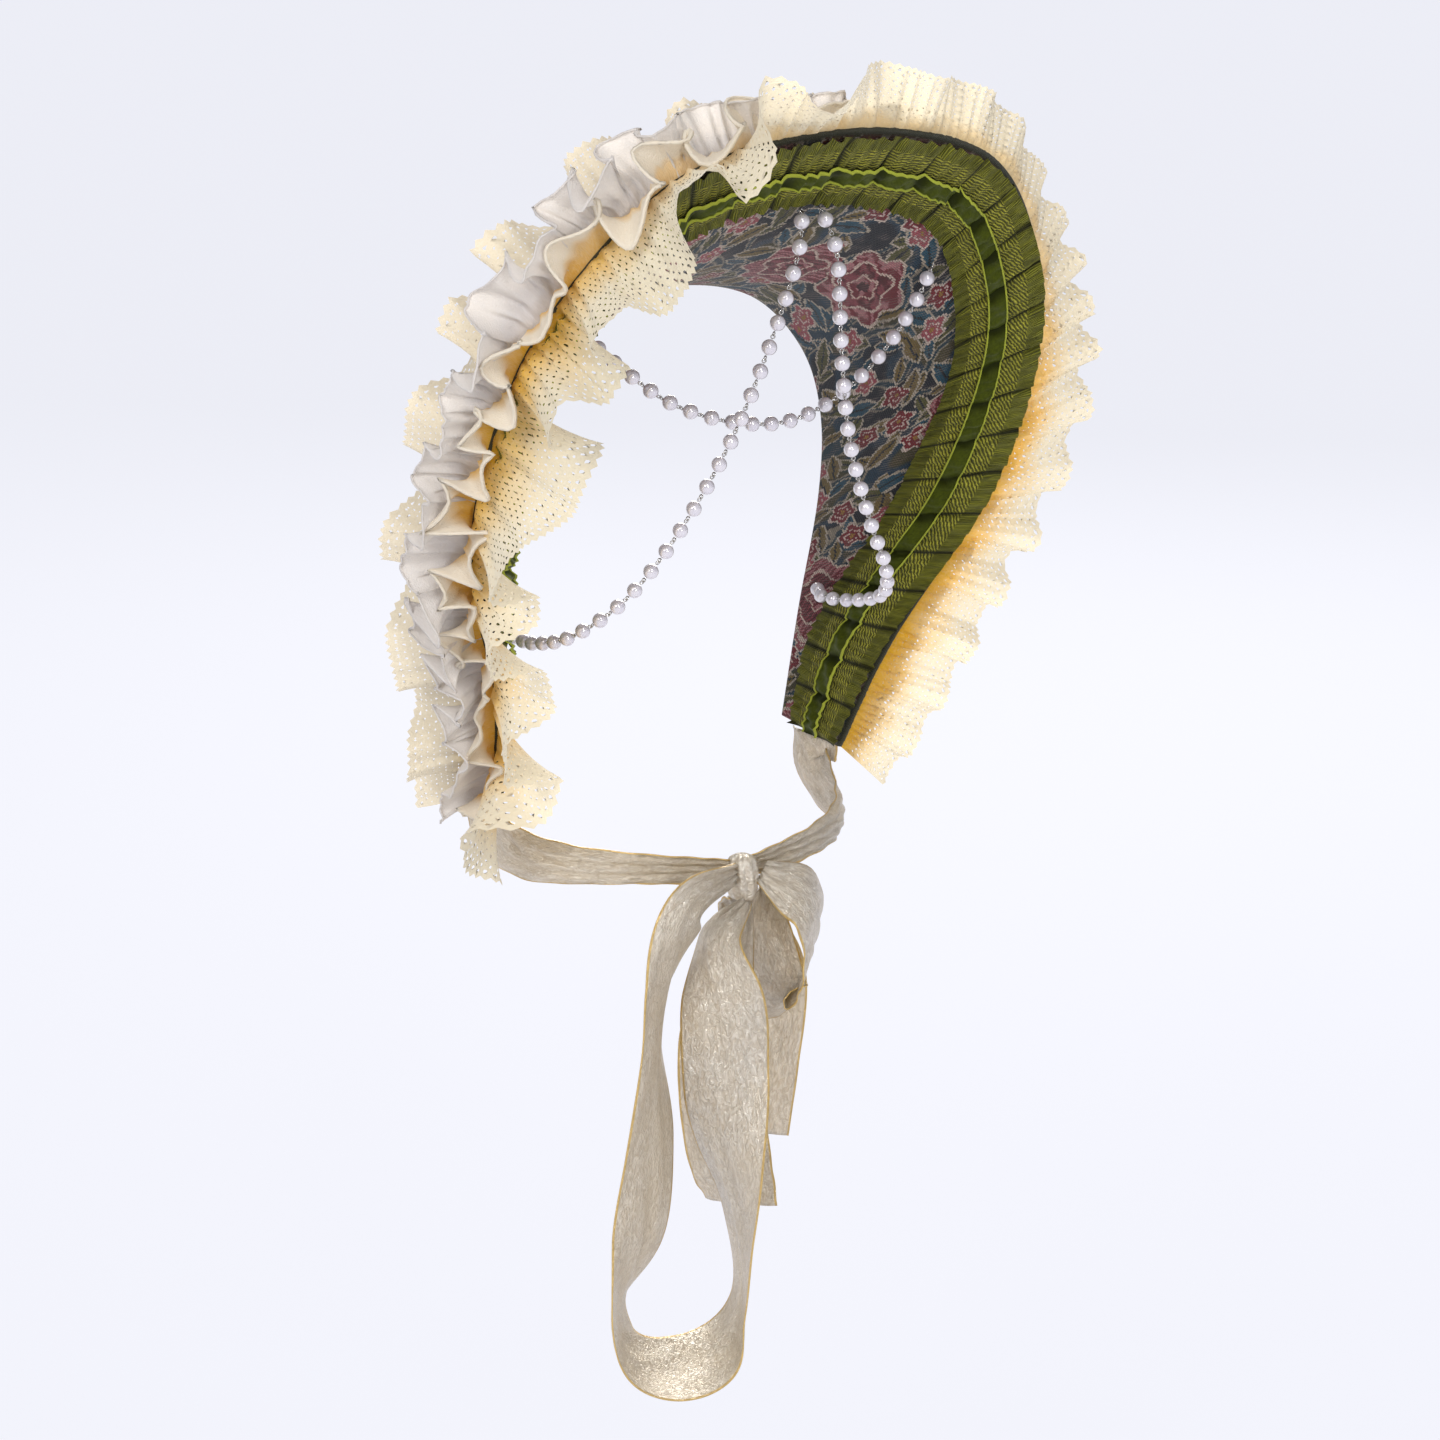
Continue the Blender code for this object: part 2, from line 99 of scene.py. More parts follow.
camera = bpy.data.objects.new("camera", bpy.data.cameras.new("camera"))
camera.data.lens = 86.25
camera.data.sensor_width = 36
camera.location = TARGET + CAMERA_DISTANCE * TOWARDS_CAMERA
camera.rotation_euler = TOWARDS_CAMERA.to_track_quat("Z", "Y").to_euler()
bpy.context.collection.objects.link(camera)
bpy.context.scene.camera = camera

# matt paper with a glow of its own, so that it meets the room without an edge or a shadow
floor_paper = new_material("studio_paper", {
    "Base Color": srgb("#3c3d42"),
    "Roughness": 0.95,
    "Emission Color": srgb("#eeeff7"),
    "Emission Strength": 0.94,
})[0]
floor_shape = bmesh.new()
bmesh.ops.create_grid(floor_shape, x_segments=2, y_segments=2, size=FLOOR_SIZE)
bmesh.ops.translate(floor_shape, vec=(0, 0, FLOOR_Z), verts=floor_shape.verts)
new_object("floor", floor_shape, floor_paper)

# the white room looks bright behind the bonnet, and its own light on the bonnet is weaker and soft
sky = bpy.data.worlds.new("studio")
sky.use_nodes = True
sky_tree = sky.node_tree
seen = add(sky_tree, "LightPath").outputs["Is Camera Ray"]
brightness = add(sky_tree, "MapRange", {"Value": seen, "To Min": ROOM_LIGHT, "To Max": 1.0})
feed(sky_tree, sky_tree.nodes["Background"], {"Color": srgb("#eef0fa"), "Strength": brightness})
bpy.context.scene.world = sky
bpy.context.scene.view_settings.view_transform = "Standard"

Lamp = namedtuple("Lamp", "name place size power colour")
LAMPS = [
    Lamp("window_left", (-1.9, -1.0, 1.1), 1.0, 28, "#ffffff"),
    Lamp("window_back", (1.3, 1.6, 0.9), 1.4, 60, "#fffaf2"),
    Lamp("front_fill", (0.9, -2.0, 0.3), 1.6, 2, "#f6f8ff"),
    Lamp("high_front", (-0.5, -1.6, 1.3), 0.5, 5, "#ffffff"),
    Lamp("by_camera", (-0.30, -1.65, 0.30), 0.22, 6, "#ffffff"),
]
for lamp in LAMPS:
    light = bpy.data.lights.new(lamp.name, "AREA")
    light.size = lamp.size
    light.energy = lamp.power
    light.color = srgb(lamp.colour)[:3]
    holder = bpy.data.objects.new(lamp.name, light)
    holder.location = lamp.place
    holder.rotation_euler = (Vector(lamp.place) - TARGET).to_track_quat("Z", "Y").to_euler()
    bpy.context.collection.objects.link(holder)


# Brim: two layers of floral tapestry on a stiffener, turned in at the edges. It is cut as half a
# funnel that flares forwards, wide at the crown and narrow at its two tips.
BRIM_THICK = 0.003
BAND_DEPTH = 0.042  # of the lining, from the rim, under the trim
RIM_LEAN = 0.505  # the rim comes forward this much for each metre of height
RIM_FORWARD = -0.105
KNEE_PULL = 0.75
EDGE_SHARE = 0.06  # of the section goes to each rounded edge
BRIM_SECTION = 0.27  # round both faces and both edges
OUTSIDE_SHIFT = 0.31  # of the cloth, so that the outside shows another part of the pattern
# width of the painted shade along the rim, and of its soft edge
RIM_SHADE, RIM_SHADE_FADE = 0.0030, 0.0006
SEAM_LINE = -0.0008  # all that is sewn to the rim starts just past it
RIM_SAMPLES = 700
BrimRow = namedtuple("BrimRow", "rim_x rim_z knee_x knee_y knee_z edge_x edge_y edge_z")
BRIM_ROWS = [
    BrimRow(0.000, 0.079, 0.000, -0.080, 0.014, 0.000, 0.000, 0.000),
    BrimRow(0.066, 0.066, 0.041, -0.080, 0.007, 0.040, 0.004, -0.008),
    BrimRow(0.104, 0.027, 0.071, -0.080, -0.013, 0.070, 0.012, -0.034),
    BrimRow(0.124, -0.024, 0.086, -0.068, -0.044, 0.084, 0.018, -0.066),
    BrimRow(0.124, -0.093, 0.089, -0.039, -0.096, 0.088, 0.026, -0.106),
    BrimRow(0.097, -0.165, 0.088, -0.002, -0.164, 0.084, 0.036, -0.160),
    BrimRow(0.087, -0.220, 0.084, 0.026, -0.217, 0.080, 0.044, -0.214),
]
ALONG, DOWN = 360, 60  # cells of the surface that everything sewn to the brim follows


def smooth_rows(rows, places):
    """Rows at several places from 0 to len(rows) - 1, on a smooth curve through them all."""
    rows = np.array(rows, float)
    padded = np.concatenate([[2 * rows[0] - rows[1]], rows, [2 * rows[-1] - rows[-2]]])
    places = np.atleast_1d(np.asarray(places, float))
    at = np.clip(places.astype(int), 0, len(rows) - 2)
    t = (places - at)[:, None]
    before, here, after, beyond = (padded[at + k] for k in range(4))
    return 0.5 * (
        2 * here
        + (after - before) * t
        + (2 * before - 5 * here + 4 * after - beyond) * t**2
        + (3 * (here - after) + beyond - before) * t**3
    )


def units(vectors):
    return vectors / np.linalg.norm(vectors, axis=-1, keepdims=True)


def run_along(line):
    """How far along a line each of its points is."""
    return np.concatenate([[0], np.cumsum(np.linalg.norm(np.diff(line, axis=0), axis=1))])


def brim_surface():
    """The lining's points, outward normals and depth, and the rim's length."""
    left = []
    for row in BRIM_ROWS:
        rim = (row.rim_x, RIM_FORWARD - RIM_LEAN * row.rim_z, row.rim_z)
        knee = (row.knee_x, row.knee_y, row.knee_z)
        left.append(np.array(rim + knee + (row.edge_x, row.edge_y, row.edge_z)))
    mirror = np.array([-1, 1, 1] * 3)
    rows = [row * mirror for row in left[:0:-1]] + left
    fine = smooth_rows(rows, np.linspace(0, len(rows) - 1, ALONG + 1))
    run = run_along(fine[:, :3])
    even = np.interp(np.linspace(0, run[-1], ALONG + 1), run, np.linspace(0, len(rows) - 1, ALONG + 1))
    grid, depth = [], []
    for row in smooth_rows(rows, even):
        rim, knee, edge = row[0:3], row[3:6], row[6:9]
        t = np.linspace(0, 1, DOWN + 1)[:, None]
        first = rim + KNEE_PULL * (knee - rim)
        second = edge + KNEE_PULL * (knee - edge)
        line = (1 - t) ** 3 * rim + 3 * (1 - t) ** 2 * t * first
        line += 3 * (1 - t) * t**2 * second + t**3 * edge
        down = run_along(line)
        steps = np.linspace(0, down[-1], DOWN + 1)
        grid.append(np.stack([np.interp(steps, down, line[:, k]) for k in range(3)], axis=1))
        depth.append(down[-1])
    grid = np.array(grid)
    normals = np.cross(np.gradient(grid, axis=0), np.gradient(grid, axis=1))
    return grid, units(normals), np.array(depth), run[-1]


brim_grid, brim_normals, brim_depth, BRIM_LENGTH = brim_surface()


def depth_at(share):
    """The lining's depth at a share of the rim."""
    return np.interp(share * ALONG, np.arange(ALONG + 1), brim_depth)


def on_brim(share, down, lift):
    """Points over the brim: share of the rim from the right tip, distance down from the rim (less than
    0 is past it), and height above the lining, positive outwards."""
    cell = np.clip(share, 0, 1) * ALONG
    i = np.clip(cell.astype(int), 0, ALONG - 1)
    a = (cell - i)[:, None]
    row = down / depth_at(np.clip(share, 0, 1)) * DOWN
    j = np.clip(row.astype(int), 0, DOWN - 1)
    b = (row - j)[:, None]
    points, normals = (
        (1 - a) * ((1 - b) * field[i, j] + b * field[i, j + 1])
        + a * ((1 - b) * field[i + 1, j] + b * field[i + 1, j + 1])
        for field in (brim_grid, brim_normals)
    )
    return points + np.asarray(lift)[..., None] * units(normals)


def flat_cut(along, across, length, width):
    """A flat cloth in metres, from 0 to its length in x and its width in y, as a grid of cells."""
    shape = bmesh.new()
    bmesh.ops.create_grid(shape, x_segments=along, y_segments=across, size=0.5)
    bmesh.ops.translate(shape, vec=(0.5, 0.5, 0), verts=shape.verts)
    bmesh.ops.scale(shape, vec=(length, width, 1), verts=shape.verts)
    return shape


def cloth_piece(name, node, shape, place, length, width, unrolled=None):
    """A flat cloth that stands for a node, put in place by its corners' shares u along and v across it.
    Its UV map keeps the flat places, in metres. A section that closes on itself, as round a stiff
    edge, gives its own unrolled places instead."""
    layer = shape.loops.layers.uv.new("cloth")
    for face in shape.faces:
        for corner in face.loops:
            x, y, _ = corner.vert.co
            corner[layer].uv = unrolled(x / length, y / width) if unrolled else (x, y)
    flat = np.array([corner.co for corner in shape.verts])
    points = place(flat[:, 0] / length, flat[:, 1] / width)
    for corner, point in zip(shape.verts, points):
        corner.co = point
    if unrolled:
        bmesh.ops.remove_doubles(shape, verts=shape.verts, dist=1e-6)
        bmesh.ops.holes_fill(shape, edges=shape.edges, sides=0)
        bmesh.ops.recalc_face_normals(shape, faces=shape.faces)
    piece = new_object(name, shape)
    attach(piece, "root")
    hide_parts(node)
    return piece


def brim_place(u, v):
    """Round the brim's section: down the lining, round the back edge, up the outside, round the rim."""
    depth = depth_at(u)
    radius = BRIM_THICK / 2
    inner = np.clip(v / (0.5 - EDGE_SHARE), 0, 1)
    back = np.clip((v - 0.5 + EDGE_SHARE) / EDGE_SHARE, 0, 1)
    outer = np.clip((v - 0.5) / (0.5 - EDGE_SHARE), 0, 1)
    front = np.clip((v - 1 + EDGE_SHARE) / EDGE_SHARE, 0, 1)
    down = depth * (inner - outer) + radius * (np.sin(math.pi * back) - np.sin(math.pi * front))
    lift = radius - radius * np.cos(math.pi * back) * np.cos(math.pi * front)
    return on_brim(u, down, lift)


BACK_LENGTH = run_along(brim_grid[:, -1])[-1]
MEAN_DEPTH = float(np.mean(brim_depth))
RIM_RADIUS = MEAN_DEPTH * BRIM_LENGTH / (BRIM_LENGTH - BACK_LENGTH)


def brim_unrolled(u, v):
    """The cut of the tapestry: part of a flat ring, because the brim is close to part of a cone."""
    radius = RIM_RADIUS - float(depth_at(u)) * (1 - abs(2 * v - 1))
    turn = (u - 0.5) * BRIM_LENGTH / RIM_RADIUS
    return radius * math.sin(turn), radius * math.cos(turn) + (OUTSIDE_SHIFT if v > 0.5 else 0)


brim_flat = flat_cut(240, 72, BRIM_LENGTH, BRIM_SECTION)
brim = cloth_piece("tapestry_brim", "brim", brim_flat, brim_place, BRIM_LENGTH, BRIM_SECTION,
                   brim_unrolled)


def shade_attribute(piece, name, values):
    """A value at each corner of a piece, for its material."""
    attribute = piece.data.attributes.new(name, "FLOAT", "POINT")
    attribute.data.foreach_set("value", np.asarray(values, np.float32))


def grid_shares(along, across):
    """The share u of each of create_grid's corners, in its own order."""
    return np.tile(np.linspace(0, 1, along + 1), across + 1)


# the rim is turned in, and its first few millimetres are painted dark olive with no pattern, as painted shade
# between the trim and the lace
brim_points = np.array([corner.co for corner in brim.data.vertices])
rim_shares = np.linspace(0, 1, RIM_SAMPLES)
rim_line = on_brim(rim_shares, np.full(RIM_SAMPLES, SEAM_LINE), np.full(RIM_SAMPLES, BRIM_THICK / 2))
from_rim = np.array([np.min(np.linalg.norm(rim_line - point, axis=1)) for point in brim_points])
shade_attribute(brim, "rim_shade", np.clip((RIM_SHADE - from_rim) / RIM_SHADE_FADE, 0, 1))


def between(tree, low, high, value):
    """0 below low, 1 above high and smooth between them."""
    limits = {"Value": value, "From Min": low, "From Max": high}
    return add(tree, "MapRange", limits, interpolation_type="SMOOTHSTEP")


def layered(tree, colour, *layers):
    """A colour with others laid over it in turn, each where its share is 1."""
    for share, over in layers:
        colour = add(tree, "Mix", {0: share, 6: colour, 7: over}, data_type="RGBA").outputs[2]
    return colour


def cloth_places(tree, width):
    """A cloth's flat places in metres, and how far they are from its middle line."""
    flat_places = add(tree, "UVMap", uv_map="cloth").outputs["UV"]
    axes = add(tree, "SeparateXYZ", {0: flat_places})
    from_middle = add(tree, "Math", {0: axes.outputs["Y"], 1: width / 2}, operation="SUBTRACT")
    return flat_places, add(tree, "Math", {0: from_middle}, operation="ABSOLUTE")


# Jacquard: cotton in about ten colours, woven over a ribbed ground. Its threads are 0.5 mm apart and
# are drawn at twice that to show. The design is a plain all-over of roses, blossom and leaves.
THREAD = 0.0010
THREAD_WOBBLE = 0.004  # how far the weaver's steps pull a motif's outline about
jacquard, tree, shader = new_material("cotton_jacquard_tapestry", {"Roughness": 0.85, "Sheen Weight": 0.15})
cloth_uv = add(tree, "UVMap", uv_map="cloth").outputs["UV"]
pixel = add(tree, "VectorMath", {0: cloth_uv, 1: (THREAD, THREAD, 1)}, operation="SNAP")
wobble = add(tree, "TexNoise", {"Vector": pixel, "Scale": 90.0, "Detail": 2.0})
shift = add(tree, "VectorMath", {0: wobble.outputs["Color"], 1: (0.5, 0.5, 0.5)}, operation="SUBTRACT")
pull = (THREAD_WOBBLE, THREAD_WOBBLE, THREAD_WOBBLE)
drawn = add(tree, "VectorMath", {0: shift, 1: pull, 2: pixel}, operation="MULTIPLY_ADD")


def scattered(spread, seed):
    """Motifs' own coordinates round scattered centres, each turned by a random angle, and their random
    numbers."""
    moved = add(tree, "VectorMath", {0: drawn, 1: (seed, 0.37 * seed, 0)}, operation="ADD")
    cells = add(tree, "TexVoronoi", {"Vector": moved, "Scale": 1 / spread, "Randomness": 0.8},
                voronoi_dimensions="2D")
    centre = add(tree, "VectorMath", {0: moved, 1: cells.outputs["Position"]}, operation="SUBTRACT")
    chance = add(tree, "SeparateXYZ", {0: cells.outputs["Color"]})
    angle = add(tree, "Math", {0: chance.outputs["X"], 1: 2 * math.pi}, operation="MULTIPLY")
    turned = add(tree, "VectorRotate", {"Vector": centre, "Angle": angle}, rotation_type="Z_AXIS")
    return turned, chance


def petalled(place, size, petals, turn, depth=0.2):
    """How far out a point lies in a flower, as a share of its petals' reach."""
    parts = add(tree, "SeparateXYZ", {0: place})
    angle = add(tree, "Math", {0: parts.outputs["Y"], 1: parts.outputs["X"]}, operation="ARCTAN2")
    wave = add(tree, "Math", {0: angle, 1: petals, 2: turn}, operation="MULTIPLY_ADD")
    lobe = add(tree, "Math", {0: wave}, operation="SINE")
    lobed = add(tree, "Math", {0: lobe, 1: depth * size, 2: size}, operation="MULTIPLY_ADD")
    away = add(tree, "VectorMath", {0: place}, operation="LENGTH").outputs["Value"]
    return add(tree, "Math", {0: away, 1: lobed}, operation="DIVIDE")


def inside(ratio, edge):
    """1 where a motif's ratio, or a random number, is less than an edge."""
    return add(tree, "Math", {0: ratio, 1: edge}, operation="LESS_THAN")


# ground: navy and teal, with soft patches of olive brown
patches = add(tree, "TexNoise", {"Vector": drawn, "Scale": 30.0, "Detail": 1.5}).outputs["Fac"]
colour = layered(tree, srgb("#1a2130"), (between(tree, 0.46, 0.52, patches), srgb("#1d4a5e")),
                 (between(tree, 0.57, 0.62, patches), srgb("#5a5328")))

# stems: thin curling lines in cream, teal inside
stems = add(tree, "TexWave", {"Vector": drawn, "Scale": 17.0, "Distortion": 11.0, "Detail": 1.0,
                              "Detail Scale": 1.4}).outputs["Fac"]
colour = layered(tree, colour, (between(tree, 0.80, 0.84, stems), srgb("#a89e8d")),
                 (between(tree, 0.93, 0.95, stems), srgb("#1d4a57")))

# leaves: pointed, in teal or olive, each with a cream edge and a dark vein
for spread, seed, length, breadth in ((0.017, 0.9, 0.0082, 0.0030), (0.022, 2.3, 0.0110, 0.0042)):
    place, chance = scattered(spread, seed)
    parts = add(tree, "SeparateXYZ", {0: place})
    along = add(tree, "Math", {0: parts.outputs["X"], 1: length}, operation="DIVIDE")
    square = add(tree, "Math", {0: along, 1: along}, operation="MULTIPLY")
    aside = add(tree, "Math", {0: parts.outputs["Y"]}, operation="ABSOLUTE")
    across = add(tree, "Math", {0: aside, 1: breadth}, operation="DIVIDE")
    leaf = add(tree, "Math", {0: square, 1: across}, operation="ADD")
    hue = layered(tree, srgb("#6d6b34"), (inside(chance.outputs["Y"], 0.55), srgb("#246274")),
                  (inside(chance.outputs["Z"], 0.25), srgb("#8d7a46")))
    colour = layered(tree, colour, (inside(leaf, 1.22), srgb("#c4b9a8")), (inside(leaf, 0.90), hue))
    vein = layered(tree, colour, (inside(leaf, 0.8), srgb("#14242c")))
    colour = layered(tree, colour, (inside(across, 0.14), vein))

# blossom: sprays of small five-petalled flowers in crimson and rose
BLOSSOM_SHARE = 0.72  # of the places have a flower
place, chance = scattered(0.0215, 0.3)
bloom = petalled(place, 0.0062, 5, 0.0)
rose = layered(tree, srgb("#8f2433"), (inside(chance.outputs["Y"], 0.5), srgb("#b4636b")))
some = inside(chance.outputs["Z"], BLOSSOM_SHARE)
PETAL_RINGS = ((1.20, srgb("#d9c9bd")), (0.98, rose), (0.62, srgb("#dcc3ba")), (0.48, rose),
               (0.22, srgb("#b08a45")))
for edge, hue in PETAL_RINGS:
    part = add(tree, "Math", {0: inside(bloom, edge), 1: some}, operation="MULTIPLY")
    colour = layered(tree, colour, (part, hue))

# roses: large and full, with a ring of outer petals, a turned ring of inner ones and a dark heart,
# each petal edged in cream and hatched by the floats of the weave
place = scattered(0.092, 1.7)[0]
outer = petalled(place, 0.0215, 7, 0.0, 0.12)
middle = petalled(place, 0.0140, 5, 1.1, 0.15)
heart = petalled(place, 0.0070, 5, 0.4, 0.16)
hatch = add(tree, "TexWave", {"Vector": place, "Scale": 330.0, "Distortion": 1.2, "Detail": 1.0})
hatched = between(tree, 0.35, 0.65, hatch.outputs["Fac"])
petal = layered(tree, srgb("#8e333e"), (hatched, srgb("#c48d8f")))
deep = layered(tree, srgb("#701b28"), (hatched, srgb("#a3555d")))
ROSE_RINGS = ((outer, 1.09, srgb("#dccbbc")), (outer, 1.02, petal), (middle, 1.10, srgb("#e0cbbd")),
              (middle, 0.99, deep), (heart, 1.14, srgb("#e0c6b8")), (heart, 0.96, petal),
              (heart, 0.45, srgb("#5a1420")))
for ratio, edge, hue in ROSE_RINGS:
    colour = layered(tree, colour, (inside(ratio, edge), hue))

# cream floats of thread cross the flowers and leaves slantwise, and the ground shows its plain weave
FLOAT_PITCH, FLOAT_SHARE = 0.0015, 0.55
WAVE_PITCH = 0.314  # a wave texture's pitch at scale 1
WEAVE_SHARE = 0.70
diagonal = add(tree, "Mapping", {"Vector": cloth_uv, "Rotation": (0, 0, math.radians(32))})
floats = add(tree, "TexWave", {"Vector": diagonal, "Scale": WAVE_PITCH / FLOAT_PITCH, "Distortion": 1.5,
                               "Detail": 1.0, "Detail Scale": 3.0})
drift = add(tree, "TexNoise", {"Vector": cloth_uv, "Scale": 120.0, "Detail": 2.0})
showing = add(tree, "Math", {0: between(tree, 0.60, 0.80, floats.outputs["Fac"]),
                             1: between(tree, 0.44, 0.60, drift.outputs["Fac"])}, operation="MULTIPLY")
showing = add(tree, "Math", {0: showing, 1: FLOAT_SHARE}, operation="MULTIPLY")
colour = layered(tree, colour, (showing, srgb("#9d8f86")))
weave = add(tree, "TexBrick", {
    "Vector": cloth_uv, "Scale": 1.0, "Brick Width": 1.6 * THREAD, "Row Height": THREAD,
    "Mortar Size": 0.16 * THREAD, "Mortar Smooth": 0.6, "Color1": (1, 1, 1, 1),
    "Color2": (0.62, 0.62, 0.62, 1), "Mortar": (0.16, 0.16, 0.16, 1),
})
woven = add(tree, "Mix", {0: WEAVE_SHARE, 6: colour, 7: weave.outputs["Color"]}, data_type="RGBA",
            blend_type="MULTIPLY")
aged = add(tree, "Gamma", {"Color": woven.outputs[2], "Gamma": 1.30})
# painted shade: dark olive over the first few millimetres from the rim
rim_shade_share = add(tree, "Attribute", attribute_name="rim_shade").outputs["Fac"]
colour = layered(tree, aged.outputs["Color"], (rim_shade_share, srgb("#2a2a10")))
relief = add(tree, "Bump", {"Height": weave, "Strength": 0.8, "Distance": 0.0004})
feed(tree, shader, {"Base Color": colour, "Normal": relief})
brim.data.materials.append(jacquard)


# Green trim: a 42 mm band laid in box pleats every 23 mm and stitched to the lining just inside the
# rim. Its two edges are sheer and finely pleated; between them run two strips of ribbed weave.
PLEATS = 36
TRIM_CELLS = (PLEATS * 16, 34)
TRIM_FULLNESS = 1.1  # flat length of the trim for each metre of rim
TRIM_START = -0.0014  # it covers the rim's edge
TRIM_CLEAR, TRIM_RISE = 0.0016, 0.0022  # off the lining in a seam, and so much more on a panel
PANEL_START, PANEL_END = 0.09, 0.14  # shares of a pleat taken by its two folds
TIP_BAND = 0.8  # of the brim's depth at most
FRILLED = 0.18  # share of the width that frills at each edge
TRIM_ASKEW, TRIM_SLIP, TRIM_UNEVEN = 0.0030, 0.0011, 0.0007  # how its panels lean and differ
CRUSH, FINE_CRUSH = 0.0006, 0.0003
OUTER_LIFT, OUTER_FRILL = 0.0004, 0.0008
INNER_LIFT, INNER_FRILL = 0.0008, 0.0007
SHEER_EDGE, SHEER_PLEAT = 0.0075, 0.0022


def pleat_height(u):
    """The box pleats' height, from 0 in a seam to 1 on a panel, with a soft crown."""
    place = u * PLEATS % 1
    number = np.floor(u * PLEATS)
    rise = np.clip(place / PANEL_START, 0, 1) * np.clip((1 - place) / PANEL_END, 0, 1)
    rise = rise * rise * (3 - 2 * rise)
    uneven = 0.85 + 0.25 * np.sin(12.9 * number) + 0.10 * np.sin(math.pi * place)
    return rise * uneven


def band_width(u):
    """The width of the trim's band, less where the brim is narrow at its tips."""
    return np.minimum(BAND_DEPTH, TIP_BAND * depth_at(u))


def trim_height(u, v):
    """The trim's height off the lining: box pleats, each a little askew, crushed, and frilled at the
    trim's edges."""
    outer = np.clip(1 - v / FRILLED, 0, 1)
    inner = np.clip((v - 1 + FRILLED) / FRILLED, 0, 1)
    pleat_turn = 2 * math.pi * PLEATS * u
    ripple = np.sin(3 * pleat_turn + 1.5 * np.sin(40 * u))
    askew = TRIM_ASKEW * (v - 0.5) * np.sin(5.1 * np.floor(u * PLEATS))
    crush = CRUSH * np.sin(4.3 * pleat_turn + 9 * v + 3 * np.sin(31 * u))
    crush = crush + FINE_CRUSH * np.sin(7.9 * pleat_turn - 14 * v)
    lift = TRIM_CLEAR + TRIM_RISE * pleat_height(u + askew) * (1 - 0.30 * inner) + crush
    lift = lift + outer**2 * (OUTER_LIFT + OUTER_FRILL * ripple)
    return lift + inner**2 * (INNER_LIFT + INNER_FRILL * ripple)


def trim_place(u, v):
    """The trim on the lining, where its panels are uneven in depth and lean a little."""
    uneven = TRIM_UNEVEN * np.sin(7.7 * np.floor(u * PLEATS))
    down = TRIM_START + v * (band_width(u) - TRIM_START) + (v - 0.1) * uneven
    slip = TRIM_SLIP * np.sin(2 * math.pi * PLEATS * u + 0.8) * (v - 0.5)
    return on_brim(np.clip(u + slip, 0, 1), down, -trim_height(u, v))


TRIM_LENGTH = BRIM_LENGTH * TRIM_FULLNESS
trim = cloth_piece("pleated_trim", "green_trim",
                   flat_cut(*TRIM_CELLS, TRIM_LENGTH, BAND_DEPTH), trim_place, TRIM_LENGTH, BAND_DEPTH)
# values for the painted shade in the pleats' seams: 0 in a seam, 1 on a panel
shade_attribute(trim, "fold", pleat_height(grid_shares(*TRIM_CELLS)))

# woven polyester: dull, with slanting ribs that shine a little, and a fine gauze along the edges
trim_cloth, tree, shader = new_material("polyester_ribbed_trim", {
    "Roughness": 0.55,
    "Specular IOR Level": 0.3,
    "Sheen Weight": 0.12,
    "Sheen Tint": srgb("#b3b060"),
})
cloth_uv, off_middle = cloth_places(tree, BAND_DEPTH)
sheer_at = BAND_DEPTH / 2 - SHEER_EDGE
sheer = between(tree, sheer_at - 0.0004, sheer_at + 0.0004, off_middle)
fine_pleats = add(tree, "TexWave", {"Vector": cloth_uv, "Scale": 1 / SHEER_PLEAT, "Distortion": 1.5,
                                    "Detail": 1.0, "Detail Scale": 0.4}).outputs["Fac"]
slant = add(tree, "Mapping", {"Vector": cloth_uv, "Rotation": (0, 0, math.radians(28))})
ribbing = add(tree, "TexWave", {"Vector": slant, "Scale": 250.0, "Distortion": 4.0, "Detail": 2.0,
                                "Detail Scale": 1.6}, bands_direction="Y").outputs["Fac"]
creased = add(tree, "Mapping", {"Vector": cloth_uv, "Scale": (1.0, 0.22, 1.0)})
crease = add(tree, "TexNoise", {"Vector": creased, "Scale": 420.0, "Detail": 3.0}).outputs["Fac"]
fold = add(tree, "Attribute", attribute_name="fold").outputs["Fac"]
woven = layered(tree, srgb("#363807"), (ribbing, srgb("#aba638")))
veil = layered(tree, srgb("#585910"), (fine_pleats, srgb("#979630")))
green = layered(tree, woven, (sheer, veil))
# painted shade: the trim is painted near black olive in the seams between the pleats' panels
green = layered(tree, srgb("#191a05"), (between(tree, 0.0, 0.55, fold), green))
# painted shade in the creases of the crushed cloth
crease_shade = layered(tree, green, (0.40, srgb("#282a0a")))
green = layered(tree, green, (between(tree, 0.40, 0.60, crease), crease_shade))
relief_height = add(tree, "Mix", {0: sheer, 2: ribbing, 3: fine_pleats})
puckers = add(tree, "Bump", {"Height": crease, "Strength": 0.8, "Distance": 0.0012})
relief = add(tree, "Bump", {"Height": relief_height, "Strength": 1.0, "Distance": 0.0007, "Normal": puckers})
feed(tree, shader, {"Base Color": green, "Normal": relief})
trim.data.materials.append(trim_cloth)


# Velvet ribbon: 9.5 mm wide, dark moss, with a raised corded edge each side. It lies along the
# middle of the trim and is caught down in each pleat.
VELVET_WIDTH, VELVET_FLAT = 0.0095, 0.010  # as it lies, and with what its cords take up
VELVET_CELLS = (PLEATS * 12, 20)
CORD_RADIUS, CORD_START = 0.0006, 0.82  # from this share of the half width out
VELVET_CLEAR = 0.0010
PUFF, DIMPLE = 0.0010, 0.0007  # it stands up between the stitches and is pressed unevenly


